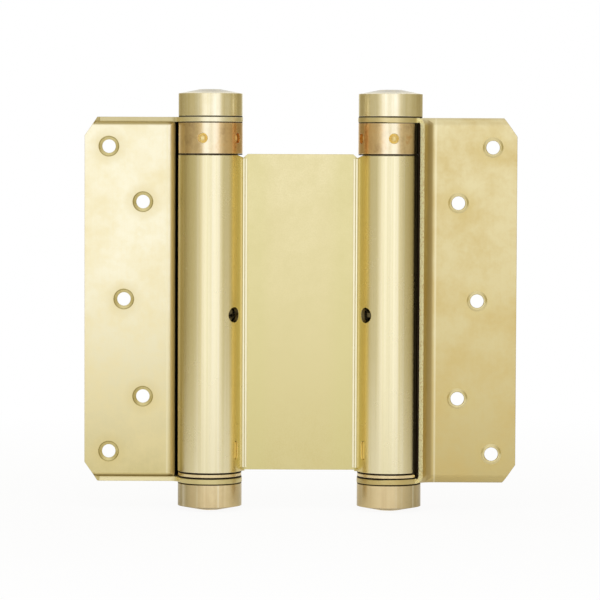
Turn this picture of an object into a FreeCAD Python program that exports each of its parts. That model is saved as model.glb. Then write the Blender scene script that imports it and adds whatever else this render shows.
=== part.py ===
import FreeCAD, Part

import math
import os

import Sketcher

# Double action cafe hinge
# A sprung hinge for a cafe door, opened out flat, with every size in millimetres.
# X runs across the hinge, Y from its front to its back and Z up along the barrels.
# The origin is the middle of the hinge: halfway between the barrel axes and at half the
# height of the leaves. The front is the side of negative Y.

# Driving sizes
# Each row holds a name, a value and what the value is.
SIZES = [
    ("sheet_thickness", 1.6, "sheet of the leaves and of the double barrel web"),
    ("axis_spacing", 61.25, "one barrel axis to the other"),
    ("barrel_diameter", 22.0, "barrel outside"),
    ("web_bend_radius", 2.0, "bend from the flat web into a barrel, on its hollow side"),
    ("web_rise", 0.4, "how far the web stands above the ends of the barrels"),
    ("seam_gap", 0.35, "rolled end of the sheet to the back of the web"),
    ("notch_width", 1.7, "relief notch where the web meets a barrel, along the web's top"),
    ("notch_depth", 1.3, "relief notch below the web's top"),
    ("notch_point_shift", 0.25, "lowest point of that notch from the barrel's side, towards the web"),
    ("side_hole_diameter", 5.2, "hole in the side of a barrel"),
    ("side_hole_height", 53.6, "that hole above the barrel's lower end"),
    ("side_hole_angle", 50.0, "that hole, from the front towards the web"),
    ("stake_length", 6.4, "slot that locks the spring anchor, along the barrel"),
    ("stake_width", 2.65, "slot that locks the spring anchor, round the barrel"),
    ("stake_height", 7.5, "middle of that slot above the barrel's lower end"),
    ("stake_angle", 55.0, "that slot, from the front towards the web"),
    ("stake_clearance", 0.1, "key of the anchor to the slot, all round"),
    ("stake_recess", 0.7, "key of the anchor below the barrel's surface"),
    ("leaf_height", 124.4, "leaf over its lips"),
    ("leaf_reach", 43.0, "barrel axis to the leaf's outer edge"),
    ("face_setback", 3.5, "mounting face to the plane of the barrel axes"),
    ("lip_clearance", 0.2, "edge of the lips to the plane of the barrel axes"),
    ("lip_bend_radius", 1.2, "bend of the lips and ears, inside"),
    ("leaf_bend_radius", 3.5, "bend from the mounting face into the wrap flange, hollow side"),
    ("wrap_clearance", 0.6, "wrap flange to the barrel"),
    ("wrap_edge_angle", 31.0, "edge of the wrap flange in front of the plane of the axes"),
    ("ear_neck_radius", 3.0, "hollow corner between an ear and its lip"),
    ("corner_width", 4.4, "cut corner along the leaf's upper or lower edge"),
    ("corner_height", 6.3, "cut corner down the leaf's outer edge"),
    ("lip_corner_setback", 5.3, "end of the lip's edge to the leaf's outer edge"),
    ("screw_hole_diameter", 4.6, "screw hole"),
    ("countersink_diameter", 7.0, "countersink at the leaf's inner face"),
    ("countersink_angle", 90.0, "countersink, whole angle"),
    ("end_screw_reach", 34.75, "barrel axis to the screw holes at the corners"),
    ("end_screw_height", 52.2, "those holes above and below the middle"),
    ("inner_screw_reach", 23.1, "barrel axis to the screw holes near the barrel"),
    ("inner_screw_height", 33.3, "those holes above and below the middle"),
    ("middle_screw_reach", 29.6, "barrel axis to the screw hole at half height"),
    ("pintle_diameter", 8.0, "pintle"),
    ("pintle_clearance", 0.08, "pintle to what turns or sits on it, all round"),
    ("cap_step", 0.1, "cap below the barrel's surface"),
    ("cap_side_height", 7.6, "side of a cap"),
    ("cap_shoulder_height", 1.45, "sloping shoulder of a cap above its side"),
    ("cap_crown_diameter", 7.5, "flat crown of a cap"),
    ("cap_gap", 0.4, "cap to the ear"),
    ("cap_socket_depth", 5.5, "socket in a cap for the pintle"),
    ("collar_step", 0.05, "collar below the barrel's surface"),
    ("collar_height", 10.4, "tension collar without its spigot"),
    ("collar_ear_gap", 0.35, "collar to the upper ear"),
    ("collar_barrel_gap", 0.5, "collar to the barrel"),
    ("spigot_length", 7.0, "spigot of the collar in the barrel"),
    ("bore_clearance", 0.09, "spigot and anchor to the barrel's bore, all round"),
    ("tommy_hole_diameter", 3.5, "hole for the tommy bar"),
    ("tommy_hole_depth", 3.6, "that hole"),
    ("tommy_hole_count", 5, "those holes round the collar"),
    ("left_collar_turn", -13.0, "tommy hole nearest the front, from the front towards +X, left"),
    ("right_collar_turn", 5.0, "tommy hole nearest the front, from the front towards +X, right"),
    ("washer_step", 0.2, "thrust washer below the barrel's surface"),
    ("washer_thickness", 1.0, "thrust washer"),
    ("washer_barrel_gap", 0.6, "washer to the barrel"),
    ("washer_ear_gap", 0.6, "washer to the lower ear"),
    ("anchor_height", 13.0, "spring anchor"),
    ("anchor_recess", 0.4, "spring anchor above the barrel's lower end"),
    ("wire_size", 3.0, "square wire of the spring"),
    ("spring_clearance", 0.5, "spring to the barrel's bore, all round"),
    ("spring_end_gap", 0.3, "end turn of the spring to the piece that holds it"),
    ("tang_length", 3.4, "straight end of the spring's wire"),
    ("tang_clearance", 0.15, "slot to the straight end of the wire, all round"),
    ("run_on", 2.0, "how far a trimming cut runs on past the piece"),
]

# Worked-out sizes
# Each row holds a name and the formula that gives it.
MADE = [
    ("barrel_radius", "Size.barrel_diameter / 2"),
    ("barrel_bore_radius", "Made.barrel_radius - Size.sheet_thickness"),
    ("half_sheet", "Size.sheet_thickness / 2"),
    ("half_spacing", "Size.axis_spacing / 2"),
    ("inside_height", "Size.leaf_height - 2 * Size.sheet_thickness"),
    ("washer_bottom", "-Made.inside_height / 2 + Size.washer_ear_gap"),
    ("barrel_bottom", "Made.washer_bottom + Size.washer_thickness + Size.washer_barrel_gap"),
    ("collar_bottom", "Made.inside_height / 2 - Size.collar_ear_gap - Size.collar_height"),
    ("barrel_length", "Made.collar_bottom - Size.collar_barrel_gap - Made.barrel_bottom"),
    ("web_top", "Made.barrel_length + Size.web_rise"),
    ("barrel_edge", "Made.half_spacing - Made.barrel_radius"),
    ("web_bend_drop", "Made.half_sheet + Size.web_bend_radius"),
    ("web_bend_reach", "Made.barrel_radius + Size.web_bend_radius"),
    ("web_outer_bend_radius", "Size.web_bend_radius + Size.sheet_thickness"),
    ("seam_drop", "Made.half_sheet + Size.seam_gap"),
    ("wrap_inner_radius", "Made.barrel_radius + Size.wrap_clearance"),
    ("wrap_outer_radius", "Made.wrap_inner_radius + Size.sheet_thickness"),
    ("leaf_outer_bend_radius", "Size.leaf_bend_radius + Size.sheet_thickness"),
    ("lip_outer_bend_radius", "Size.lip_bend_radius + Size.sheet_thickness"),
    ("inner_face_setback", "Size.face_setback - Size.sheet_thickness"),
    ("ear_radius", "Made.barrel_radius"),
    ("corner_at_lip",
     "Size.corner_width * (Size.corner_height - Size.sheet_thickness) / Size.corner_height"),
    ("bore_radius", "Size.pintle_diameter / 2 + Size.pintle_clearance"),
    ("pintle_radius", "Size.pintle_diameter / 2"),
    ("cap_seat", "Size.leaf_height / 2 + Size.cap_gap"),
    ("pintle_length",
     "2 * (Made.cap_seat + Size.cap_socket_depth - Size.pintle_clearance)"),
    ("cap_radius", "Made.barrel_radius - Size.cap_step"),
    ("cap_crown_radius", "Size.cap_crown_diameter / 2"),
    ("cap_height", "Size.cap_side_height + Size.cap_shoulder_height"),
    ("collar_radius", "Made.barrel_radius - Size.collar_step"),
    ("spigot_radius", "Made.barrel_bore_radius - Size.bore_clearance"),
    ("spigot_bottom", "Made.collar_bottom - Made.spigot_reach"),
    ("spigot_reach", "Size.spigot_length + Size.collar_barrel_gap"),
    ("collar_top", "Made.spigot_reach + Size.collar_height"),
    ("tommy_height", "Made.spigot_reach + Size.collar_height / 2"),
    ("tommy_radius", "Size.tommy_hole_diameter / 2"),
    ("tommy_floor", "Made.collar_radius - Size.tommy_hole_depth"),
    ("tommy_mouth", "Made.collar_radius + Size.run_on"),
    ("washer_radius", "Made.barrel_radius - Size.washer_step"),
    ("anchor_bottom", "Made.barrel_bottom + Size.anchor_recess"),
    ("anchor_top", "Made.anchor_bottom + Size.anchor_height"),
    ("key_length", "Size.stake_length - 2 * Size.stake_clearance"),
    ("key_width", "Size.stake_width - 2 * Size.stake_clearance"),
    ("key_reach", "Made.barrel_radius - Size.stake_recess"),
    ("key_height", "Size.stake_height - Size.anchor_recess"),
    ("spring_radius", "Made.barrel_bore_radius - Size.spring_clearance"),
    ("spring_inner_radius", "Made.spring_radius - Size.wire_size"),
    ("spring_bottom", "Made.anchor_top + Size.spring_end_gap"),
    ("spring_length", "Made.spigot_bottom - Size.spring_end_gap - Made.spring_bottom"),
    ("half_wire", "Size.wire_size / 2"),
    ("tang_slot_width", "Size.wire_size + 2 * Size.tang_clearance"),
    ("tang_slot_depth", "Size.tang_length - Size.spring_end_gap + Size.tang_clearance"),
    ("tang_slot_radius", "Made.spring_inner_radius - Size.tang_clearance"),
]

doc = FreeCAD.newDocument("double_action_cafe_hinge")
size_sheet = doc.addObject("Spreadsheet::Sheet", "Size")
made_sheet = doc.addObject("Spreadsheet::Sheet", "Made")


def fill_sheet(sheet, rows):
    """Writes one named cell a row, with the name beside it."""
    for place, row in enumerate(rows, start=1):
        sheet.set(f"A{place}", row[0])
        sheet.set(f"B{place}", str(row[1]))
        sheet.setAlias(f"B{place}", row[0])


fill_sheet(size_sheet, SIZES)
fill_sheet(made_sheet, [(name, "=" + rule.replace("Made.", "")) for name, rule in MADE])
doc.recompute()
MADE_NAMES = {name for name, rule in MADE}


def mm(name):
    """The value of a named size."""
    sheet = made_sheet if name in MADE_NAMES else size_sheet
    return float(sheet.get(name))


def cell(name):
    """A named size as a formula writes it."""
    return ("Made." if name in MADE_NAMES else "Size.") + name


# Drawing in a sketch
# A sketch counts the points of a line from 1 and its own level and upright axes down from -1.
START, END, CENTRE = range(1, 4)
ORIGIN, UPRIGHT_AXIS = range(-1, -3, -1)


def round_point(radius, degrees, middle=(0.0, 0.0)):
    """The point at a radius and an angle from a middle point."""
    turn = math.radians(degrees)
    return (middle[0] + radius * math.cos(turn), middle[1] + radius * math.sin(turn))


def bearing(point, middle=(0.0, 0.0)):
    """The angle of a point seen from a middle point, in degrees."""
    return math.degrees(math.atan2(point[1] - middle[1], point[0] - middle[0]))


class Drawing:
    """A sketch whose lines and arcs are joined end to end and pinned to named sizes."""

    def __init__(self, body, name, plane="XY_Plane"):
        self.sketch = body.newObject("Sketcher::SketchObject", name)
        planes = {part.Role: part for part in body.Origin.OriginFeatures}
        self.sketch.AttachmentSupport = [(planes[plane], "")]
        self.sketch.MapMode = "FlatFace"

    def line(self, start, end):
        first, last = FreeCAD.Vector(*start, 0), FreeCAD.Vector(*end, 0)
        return self.sketch.addGeometry(Part.LineSegment(first, last), False)

    def arc(self, middle, radius, first, last):
        """An arc that runs anticlockwise from one angle to another, in degrees."""
        round_line = Part.Circle(FreeCAD.Vector(*middle, 0), FreeCAD.Vector(0, 0, 1), radius)
        bow = Part.ArcOfCircle(round_line, math.radians(first), math.radians(last))
        return self.sketch.addGeometry(bow, False)

    def circle(self, middle, radius):
        round_line = Part.Circle(FreeCAD.Vector(*middle, 0), FreeCAD.Vector(0, 0, 1), radius)
        return self.sketch.addGeometry(round_line, False)

    def rule(self, *terms):
        return self.sketch.addConstraint(Sketcher.Constraint(*terms))

    def join(self, *pairs):
        """Each pair of ends meets at a corner."""
        for one, one_end, other, other_end in pairs:
            self.rule("Coincident", one, one_end, other, other_end)

    def blend(self, *pairs):
        """Each pair of ends meets and runs smoothly on."""
        for one, one_end, other, other_end in pairs:
            self.rule("Tangent", one, one_end, other, other_end)

    def level(self, *lines):
        for line in lines:
            self.rule("Horizontal", line)

    def upright(self, *lines):
        for line in lines:
            self.rule("Vertical", line)

    def dimension(self, kind, formula, *terms):
        """A measure of the sketch that follows a formula of named sizes."""
        drawn = self.sketch.Geometry[terms[0]]
        if kind == "Radius":
            now = drawn.Radius
        elif kind == "Diameter":
            now = 2 * drawn.Radius
        elif kind == "Angle":
            now = math.radians(bearing(drawn.EndPoint, drawn.StartPoint))
        else:
            run = self.sketch.getPoint(*terms[2:]) - self.sketch.getPoint(*terms[:2])
            now = run.x if kind == "DistanceX" else run.y
        index = self.rule(kind, *terms, now)
        label = f"measure_{index}"
        self.sketch.renameConstraint(index, label)
        self.sketch.setExpression("Constraints." + label, formula)

    def across(self, formula, geometry, end):
        """The distance from the sketch's upright axis to a point."""
        self.dimension("DistanceX", formula, ORIGIN, START, geometry, end)

    def along(self, formula, geometry, end):
        """The distance from the sketch's level axis to a point."""
        self.dimension("DistanceY", formula, ORIGIN, START, geometry, end)

    def on_origin(self, *arcs):
        for bow in arcs:
            self.rule("Coincident", bow, CENTRE, ORIGIN, START)

    def closed(self, spots):
        """Straight lines from each spot to the next and back to the first, joined."""
        lines = [self.line(spot, spots[(i + 1) % len(spots)]) for i, spot in enumerate(spots)]
        for i, line in enumerate(lines):
            self.join((line, END, lines[(i + 1) % len(lines)], START))
        return lines

    def outline(self, corners):
        """A closed outline through corners, each a pair of the names of its two sizes."""
        spots = [(0.0 if x == "axis" else mm(x), 0.0 if y == "base" else mm(y)) for x, y in corners]
        for line, (x, y) in zip(self.closed(spots), corners):
            if x == "axis":
                self.rule("PointOnObject", line, START, UPRIGHT_AXIS)
            else:
                self.across(cell(x), line, START)
            if y == "base":
                self.rule("PointOnObject", line, START, ORIGIN)
            else:
                self.along(cell(y), line, START)


# Making solids from sketches


def origin_part(body, role):
    return next(part for part in body.Origin.OriginFeatures if part.Role == role)


def new_body(label):
    body = doc.addObject("PartDesign::Body", label)
    body.Label = label
    return body


def feature(body, kind, name, **formulas):
    """A feature of a body, whose sizes follow formulas."""
    made = body.newObject("PartDesign::" + kind, name)
    for size, formula in formulas.items():
        made.setExpression(size, formula)
    return made


def through_all(body, drawing, name):
    """A pocket through everything on both sides of its sketch."""
    made = feature(body, "Pocket", name)
    made.Profile = drawing.sketch
    made.Type = "ThroughAll"
    made.Midplane = True
    doc.recompute()


def turned(body, name, corners):
    """A piece turned round the Z axis from half of its section."""
    drawing = Drawing(body, name + "_section", "XZ_Plane")
    drawing.outline(corners)
    made = feature(body, "Revolution", name)
    made.Profile = drawing.sketch
    made.ReferenceAxis = (origin_part(body, "Z_Axis"), [""])
    made.Angle = 360
    doc.recompute()


def edges(shape, wanted):
    """The names of the edges whose middle point passes a test."""
    names = []
    for number, edge in enumerate(shape.Edges, start=1):
        middle = edge.valueAt((edge.FirstParameter + edge.LastParameter) / 2)
        if wanted(middle):
            names.append(f"Edge{number}")
    return names


def rounded(body, name, base, names, formula):
    made = feature(body, "Fillet", name, Radius=formula)
    made.Base = (base, names)
    doc.recompute()


def near(one, other):
    return abs(one - other) < 0.01


def place(body, side, height=None, turn=None):
    """Puts a piece on its barrel axis, at a height and turned about the axis.

    A rotation needs some angle to keep its axis, so it starts at one degree until its formula
    sets it.
    """
    sign = {"left": "-", "right": ""}[side]
    body.Placement = FreeCAD.Placement(FreeCAD.Vector(), FreeCAD.Rotation(FreeCAD.Vector(0, 0, 1), 1))
    body.setExpression("Placement.Base.x", sign + cell("half_spacing"))
    if height:
        body.setExpression("Placement.Base.z", height)
    body.setExpression("Placement.Rotation.Angle", turn or "0")


# Double barrel web
# One sheet: flat in the middle, bent forward at each side and rolled round a barrel until
# its end meets the back of the web. The right half is drawn and mirrored.


def rolled_section(body):
    """The right half of the rolled sheet, seen from above."""
    axis = (mm("half_spacing"), 0.0)
    drop, reach = mm("web_bend_drop"), mm("web_bend_reach")
    run = math.sqrt(reach ** 2 - drop ** 2)
    bend = (axis[0] - run, -drop)
    meet = bearing(axis, bend)
    seam = 180 - math.degrees(math.asin(mm("seam_drop") / mm("barrel_radius")))
    outer, inner = mm("barrel_radius"), mm("barrel_bore_radius")
    half = mm("half_sheet")
    section = Drawing(body, "rolled_section")
    front = section.line((0.0, -half), (bend[0], -half))
    front_bend = section.arc(bend, mm("web_bend_radius"), meet, 90)
    outside = section.arc(axis, outer, 180 + meet, 360 + seam)
    rolled_end = section.line(round_point(outer, seam, axis), round_point(inner, seam, axis))
    inside = section.arc(axis, inner, 180 + meet, 360 + seam)
    back_bend = section.arc(bend, mm("web_outer_bend_radius"), meet, 90)
    back = section.line((bend[0], half), (0.0, half))
    middle = section.line((0.0, half), (0.0, -half))
    section.blend((front, END, front_bend, END), (front_bend, START, outside, START),
                  (inside, START, back_bend, START), (back_bend, END, back, START))
    section.join((outside, END, rolled_end, START), (rolled_end, END, inside, END),
                 (back, END, middle, START), (middle, END, front, START),
                 (outside, CENTRE, inside, CENTRE))
    section.level(front, back)
    section.rule("PointOnObject", middle, START, UPRIGHT_AXIS)
    section.rule("PointOnObject", middle, END, UPRIGHT_AXIS)
    section.rule("PointOnObject", outside, CENTRE, ORIGIN)
    section.rule("PointOnObject", outside, CENTRE, rolled_end)
    section.across(cell("half_spacing"), outside, CENTRE)
    section.along("-" + cell("half_sheet"), front, START)
    section.along(cell("half_sheet"), back, END)
    section.along(cell("seam_drop"), outside, END)
    section.dimension("Radius", cell("web_bend_radius"), front_bend)
    section.dimension("Radius", cell("web_outer_bend_radius"), back_bend)
    section.dimension("Radius", cell("barrel_radius"), outside)
    section.dimension("Radius", cell("barrel_bore_radius"), inside)
    return section


def side_cut(body, name, angle, draw, height):
    """A pocket through the front wall of the right barrel, at an angle towards the web."""
    cut = Drawing(body, name + "_sketch", "XZ_Plane")
    cut.sketch.AttachmentOffset = FreeCAD.Placement(
        FreeCAD.Vector(), FreeCAD.Rotation(FreeCAD.Vector(0, -1, 0), 1))
    cut.sketch.setExpression("AttachmentOffset.Base.x", cell("half_spacing"))
    cut.sketch.setExpression("AttachmentOffset.Base.y", cell(height))
    cut.sketch.setExpression("AttachmentOffset.Rotation.Angle", cell(angle))
    draw(cut)
    made = feature(body, "Pocket", name, Length=f"{cell('barrel_radius')} + {cell('run_on')}")
    made.Profile = cut.sketch
    made.Reversed = True
    doc.recompute()


def draw_oblong(drawing, length, width):
    """An upright slot round the sketch's origin, with round ends."""
    radius, straight = mm(width) / 2, (mm(length) - mm(width)) / 2
    top = drawing.arc((0.0, straight), radius, 0, 180)
    bottom = drawing.arc((0.0, -straight), radius, 180, 360)
    left = drawing.line((-radius, straight), (-radius, -straight))
    right = drawing.line((radius, -straight), (radius, straight))
    drawing.blend((top, END, left, START), (left, END, bottom, START),
                  (bottom, END, right, START), (right, END, top, START))
    drawing.upright(left)
    drawing.rule("PointOnObject", top, CENTRE, UPRIGHT_AXIS)
    drawing.rule("Symmetric", top, CENTRE, bottom, CENTRE, ORIGIN, START)
    drawing.dimension("Radius", cell(width) + " / 2", top)
    drawing.along(f"({cell(length)} - {cell(width)}) / 2", top, CENTRE)


def make_web_barrels():
    body = new_body("web_barrels")
    body.setExpression("Placement.Base.z", cell("barrel_bottom"))
    section = rolled_section(body)
    rolled = feature(body, "Pad", "rolled_sheet", Length=cell("web_top"))
    rolled.Profile = section.sketch
    doc.recompute()

    # The web stands a little higher than the barrels, so the barrel is cut down at its top
    # and the web is cut up at its bottom. A notch parts them at the top.
    top, edge, notch = mm("web_top"), mm("barrel_edge"), mm("notch_width")
    far = mm("half_spacing") + mm("barrel_radius") + mm("run_on")
    point = (edge - mm("notch_point_shift"), top - mm("notch_depth"))
    trim = Drawing(body, "barrel_top_trim", "XZ_Plane")
    lines = trim.closed([(edge - notch, top), point, (edge + notch, mm("barrel_length")),
                         (far, mm("barrel_length")), (far, top + mm("run_on")),
                         (edge - notch, top + mm("run_on"))])
    trim.level(lines[2], lines[4])
    trim.upright(lines[3], lines[5])
    trim.across(f"{cell('barrel_edge')} - {cell('notch_width')}", lines[0], START)
    trim.along(cell("web_top"), lines[0], START)
    trim.across(f"{cell('barrel_edge')} - {cell('notch_point_shift')}", lines[1], START)
    trim.along(f"{cell('web_top')} - {cell('notch_depth')}", lines[1], START)
    trim.across(f"{cell('barrel_edge')} + {cell('notch_width')}", lines[2], START)
    trim.along(cell("barrel_length"), lines[2], START)
    trim.across(f"{cell('half_spacing')} + {cell('barrel_radius')} + {cell('run_on')}",
                lines[3], START)
    trim.along(f"{cell('web_top')} + {cell('run_on')}", lines[4], START)
    through_all(body, trim, "barrel_top")

    foot = Drawing(body, "web_foot_trim", "XZ_Plane")
    run_on, side = mm("run_on"), edge - notch / 2
    sides = foot.closed([(-run_on, -run_on), (side, -run_on), (side, mm("web_rise")),
                         (-run_on, mm("web_rise"))])
    foot.level(sides[0], sides[2])
    foot.upright(sides[1], sides[3])
    foot.across("-" + cell("run_on"), sides[0], START)
    foot.along("-" + cell("run_on"), sides[0], START)
    foot.across(f"{cell('barrel_edge')} - {cell('notch_width')} / 2", sides[2], START)
    foot.along(cell("web_rise"), sides[2], START)
    through_all(body, foot, "web_foot")

    def draw_side_hole(drawing):
        ring = drawing.circle((0.0, 0.0), mm("side_hole_diameter") / 2)
        drawing.on_origin(ring)
        drawing.dimension("Diameter", cell("side_hole_diameter"), ring)

    side_cut(body, "side_hole", "side_hole_angle", draw_side_hole, "side_hole_height")
    side_cut(body, "stake_slot", "stake_angle",
             lambda drawing: draw_oblong(drawing, "stake_length", "stake_width"), "stake_height")

    both = feature(body, "Mirrored", "both_barrels")
    both.TransformMode = "Whole shape"
    both.MirrorPlane = (origin_part(body, "YZ_Plane"), [""])
    body.Tip = both
    doc.recompute()
    return body


# Leaf
# One pressed sheet: a plate with lips along its upper and lower edges, an ear at each end
# for the pintle and a flange that wraps the barrel. It is drawn for the right side, where
# the mounting face is in front. The left leaf is the same piece turned half a turn.


def pressing(body, name, setback, fold_radius, wrap_radius, run_ons):
    """One side of the pressed sheet seen from above, run on past its final edges.

    It follows the plate, the fold and the wrap, and closes on the side of the barrel.
    """
    past, overrun = f"{run_ons} * {cell('run_on')}", run_ons * mm("run_on")
    face, fold_size, wrap_size = mm(setback), mm(fold_radius), mm(wrap_radius)
    bend_y = -(mm("face_setback") + mm("leaf_bend_radius"))
    bend = (math.sqrt((wrap_size + fold_size) ** 2 - bend_y ** 2), bend_y)
    far = wrap_size + overrun
    reach = mm("leaf_reach") + overrun
    shape = Drawing(body, name)
    plate = shape.line((reach, -face), (bend[0], -face))
    fold = shape.arc(bend, fold_size, 90, 180 + bearing(bend))
    wrap = shape.arc((0.0, 0.0), wrap_size, -90, bearing(bend))
    spots = [(0.0, -wrap_size), (-far, -wrap_size), (-far, far), (reach, far), (reach, -face)]
    lines = [shape.line(spots[i], spots[i + 1]) for i in range(4)]
    shape.blend((plate, END, fold, START), (fold, END, wrap, END), (wrap, START, lines[0], START))
    shape.join((lines[3], END, plate, START),
               *[(lines[i], END, lines[i + 1], START) for i in range(3)])
    shape.level(plate, lines[0], lines[2])
    shape.upright(lines[1], lines[3])
    shape.on_origin(wrap)
    shape.across(f"{cell('leaf_reach')} + {past}", plate, START)
    shape.along("-" + cell(setback), plate, START)
    shape.dimension("Radius", cell(fold_radius), fold)
    shape.dimension("Radius", cell(wrap_radius), wrap)
    shape.across(f"-({cell(wrap_radius)} + {past})", lines[1], END)
    shape.along(f"{cell(wrap_radius)} + {past}", lines[1], END)

    def follows(middle):
        from_fold = math.hypot(middle.x - bend[0], middle.y - bend[1])
        on_plate = near(middle.y, -face) and middle.x > bend[0]
        on_fold = near(from_fold, fold_size)
        on_wrap = near(math.hypot(middle.x, middle.y), wrap_size) and middle.y < 0 < middle.x
        run_on = near(middle.y, -wrap_size) and middle.x < 0
        return on_plate or on_fold or on_wrap or run_on

    return shape, follows


def leaf_edges(body):
    """Trims the pressing to the edges of its lips, its ears and its wrap flange."""
    face, reach, lip = mm("face_setback"), mm("leaf_reach"), mm("lip_clearance")
    outer, ear, neck = mm("wrap_outer_radius"), mm("ear_radius"), mm("ear_neck_radius")
    corner = (math.sqrt((ear + neck) ** 2 - (neck - lip) ** 2), neck - lip)
    edge = -mm("wrap_edge_angle")
    far = reach + 3 * mm("run_on")
    shape = Drawing(body, "leaf_edges")
    out_of_wrap = round_point(outer + mm("run_on"), edge)
    wrap_edge = shape.line(round_point(ear, edge), out_of_wrap)
    round_ear = shape.arc((0.0, 0.0), ear, bearing(corner), 360 + edge)
    hollow = shape.arc(corner, neck, 180 + bearing(corner), 270)
    lip_edge = shape.line((corner[0], -lip), (reach, -lip))
    end = shape.line((reach, -lip), (reach, out_of_wrap[1]))
    front = shape.line((reach, out_of_wrap[1]), out_of_wrap)
    shape.blend((round_ear, START, hollow, START), (hollow, END, lip_edge, START))
    shape.join((wrap_edge, START, round_ear, END), (lip_edge, END, end, START),
               (end, END, front, START), (front, END, wrap_edge, END))
    shape.level(lip_edge, front)
    shape.upright(end)
    shape.on_origin(round_ear)
    shape.rule("PointOnObject", ORIGIN, START, wrap_edge)
    shape.across(cell("leaf_reach"), lip_edge, END)
    shape.along("-" + cell("lip_clearance"), lip_edge, END)
    shape.dimension("Radius", cell("ear_radius"), round_ear)
    shape.dimension("Radius", cell("ear_neck_radius"), hollow)
    shape.dimension("Angle", "-" + cell("wrap_edge_angle"), wrap_edge)
    shape.across(f"({cell('wrap_outer_radius')} + {cell('run_on')})"
                 f" * cos({cell('wrap_edge_angle')})", wrap_edge, END)
    around = shape.closed([(-far, -far), (far, -far), (far, far), (-far, far)])
    shape.level(around[0], around[2])
    shape.upright(around[1], around[3])
    shape.rule("Symmetric", around[0], START, around[2], START, ORIGIN, START)
    past = f"-({cell('leaf_reach')} + 3 * {cell('run_on')})"
    shape.across(past, around[0], START)
    shape.along(past, around[0], START)
    through_all(body, shape, "trimmed_edges")


def corner_cuts(body):
    """The outer corners are cut across, and the cut runs on through the lips."""
    reach, half = mm("leaf_reach"), mm("leaf_height") / 2
    width, height = mm("corner_width"), mm("corner_height")
    cuts = Drawing(body, "corner_cuts", "XZ_Plane")
    for up in (1, -1):
        sign = "" if up > 0 else "-"
        lines = cuts.closed([(reach, up * (half - height)), (reach - width, up * half),
                             (reach, up * half)])
        cuts.level(lines[1])
        cuts.upright(lines[2])
        cuts.across(cell("leaf_reach"), lines[2], START)
        cuts.along(f"{sign}{cell('leaf_height')} / 2", lines[2], START)
        cuts.across(f"{cell('leaf_reach')} - {cell('corner_width')}", lines[0], END)
        cuts.along(f"{sign}({cell('leaf_height')} / 2 - {cell('corner_height')})", lines[0], START)
    through_all(body, cuts, "cut_corners")

    face, lip = mm("inner_face_setback"), mm("lip_clearance")
    past = reach + mm("run_on")
    trim = Drawing(body, "lip_trim")
    lines = trim.closed([(reach - mm("corner_at_lip"), -face),
                         (reach - mm("lip_corner_setback"), -lip), (past, -lip), (past, -face)])
    trim.level(lines[1], lines[3])
    trim.upright(lines[2])
    trim.across(f"{cell('leaf_reach')} - {cell('corner_at_lip')}", lines[0], START)
    trim.along("-" + cell("inner_face_setback"), lines[0], START)
    trim.across(f"{cell('leaf_reach')} - {cell('lip_corner_setback')}", lines[0], END)
    trim.along("-" + cell("lip_clearance"), lines[0], END)
    trim.across(f"{cell('leaf_reach')} + {cell('run_on')}", lines[2], START)
    through_all(body, trim, "lip_corners")


def screw_holes(body):
    """Five holes, countersunk from the inner face and zigzag down the plate."""
    rows = [("end_screw_reach", "end_screw_height", 1), ("inner_screw_reach", "inner_screw_height", 1),
            ("middle_screw_reach", None, 0), ("inner_screw_reach", "inner_screw_height", -1),
            ("end_screw_reach", "end_screw_height", -1)]
    plan = Drawing(body, "screw_hole_plan", "XZ_Plane")
    plan.sketch.setExpression("AttachmentOffset.Base.z", cell("inner_face_setback"))
    for reach, height, up in rows:
        spot = (mm(reach), up * mm(height) if height else 0.0)
        ring = plan.circle(spot, mm("screw_hole_diameter") / 2)
        plan.dimension("Diameter", cell("screw_hole_diameter"), ring)
        plan.across(cell(reach), ring, CENTRE)
        if height:
            plan.along(("-" if up < 0 else "") + cell(height), ring, CENTRE)
        else:
            plan.rule("PointOnObject", ring, CENTRE, ORIGIN)
    doc.recompute()
    holes = feature(body, "Hole", "screw_holes")
    holes.Profile = plan.sketch
    holes.Reversed = True
    holes.DepthType = "ThroughAll"
    holes.HoleCutType = "Countersink"
    holes.setExpression("Diameter", cell("screw_hole_diameter"))
    holes.setExpression("HoleCutDiameter", cell("countersink_diameter"))
    holes.setExpression("HoleCutCountersinkAngle", cell("countersink_angle"))
    doc.recompute()


def make_leaf(side):
    body = new_body(side + "_leaf")
    outside, on_outside = pressing(body, "outside_of_sheet", "face_setback",
                                   "leaf_bend_radius", "wrap_outer_radius", run_ons=1)
    block = feature(body, "Pad", "leaf_block", Length=cell("leaf_height"))
    block.Profile = outside.sketch
    block.Midplane = True
    doc.recompute()
    half = mm("leaf_height") / 2
    names = edges(block.Shape, lambda middle: near(abs(middle.z), half) and on_outside(middle))
    rounded(body, "outer_bends", block, names, cell("lip_outer_bend_radius"))

    inside, on_inside = pressing(body, "inside_of_sheet", "inner_face_setback",
                                 "leaf_outer_bend_radius", "wrap_inner_radius", run_ons=3)
    hollow = feature(body, "Pocket", "leaf_hollow", Length=cell("inside_height"))
    hollow.Profile = inside.sketch
    hollow.Midplane = True
    doc.recompute()
    half = mm("inside_height") / 2
    names = edges(hollow.Shape, lambda middle: near(abs(middle.z), half) and on_inside(middle))
    rounded(body, "inner_bends", hollow, names, cell("lip_bend_radius"))

    leaf_edges(body)
    corner_cuts(body)
    bores = Drawing(body, "pintle_bore_plan")
    ring = bores.circle((0.0, 0.0), mm("bore_radius"))
    bores.on_origin(ring)
    bores.dimension("Radius", cell("bore_radius"), ring)
    through_all(body, bores, "pintle_bores")
    screw_holes(body)
    place(body, side, turn={"left": "180", "right": None}[side])
    return body


# Pintle and its caps


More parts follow.
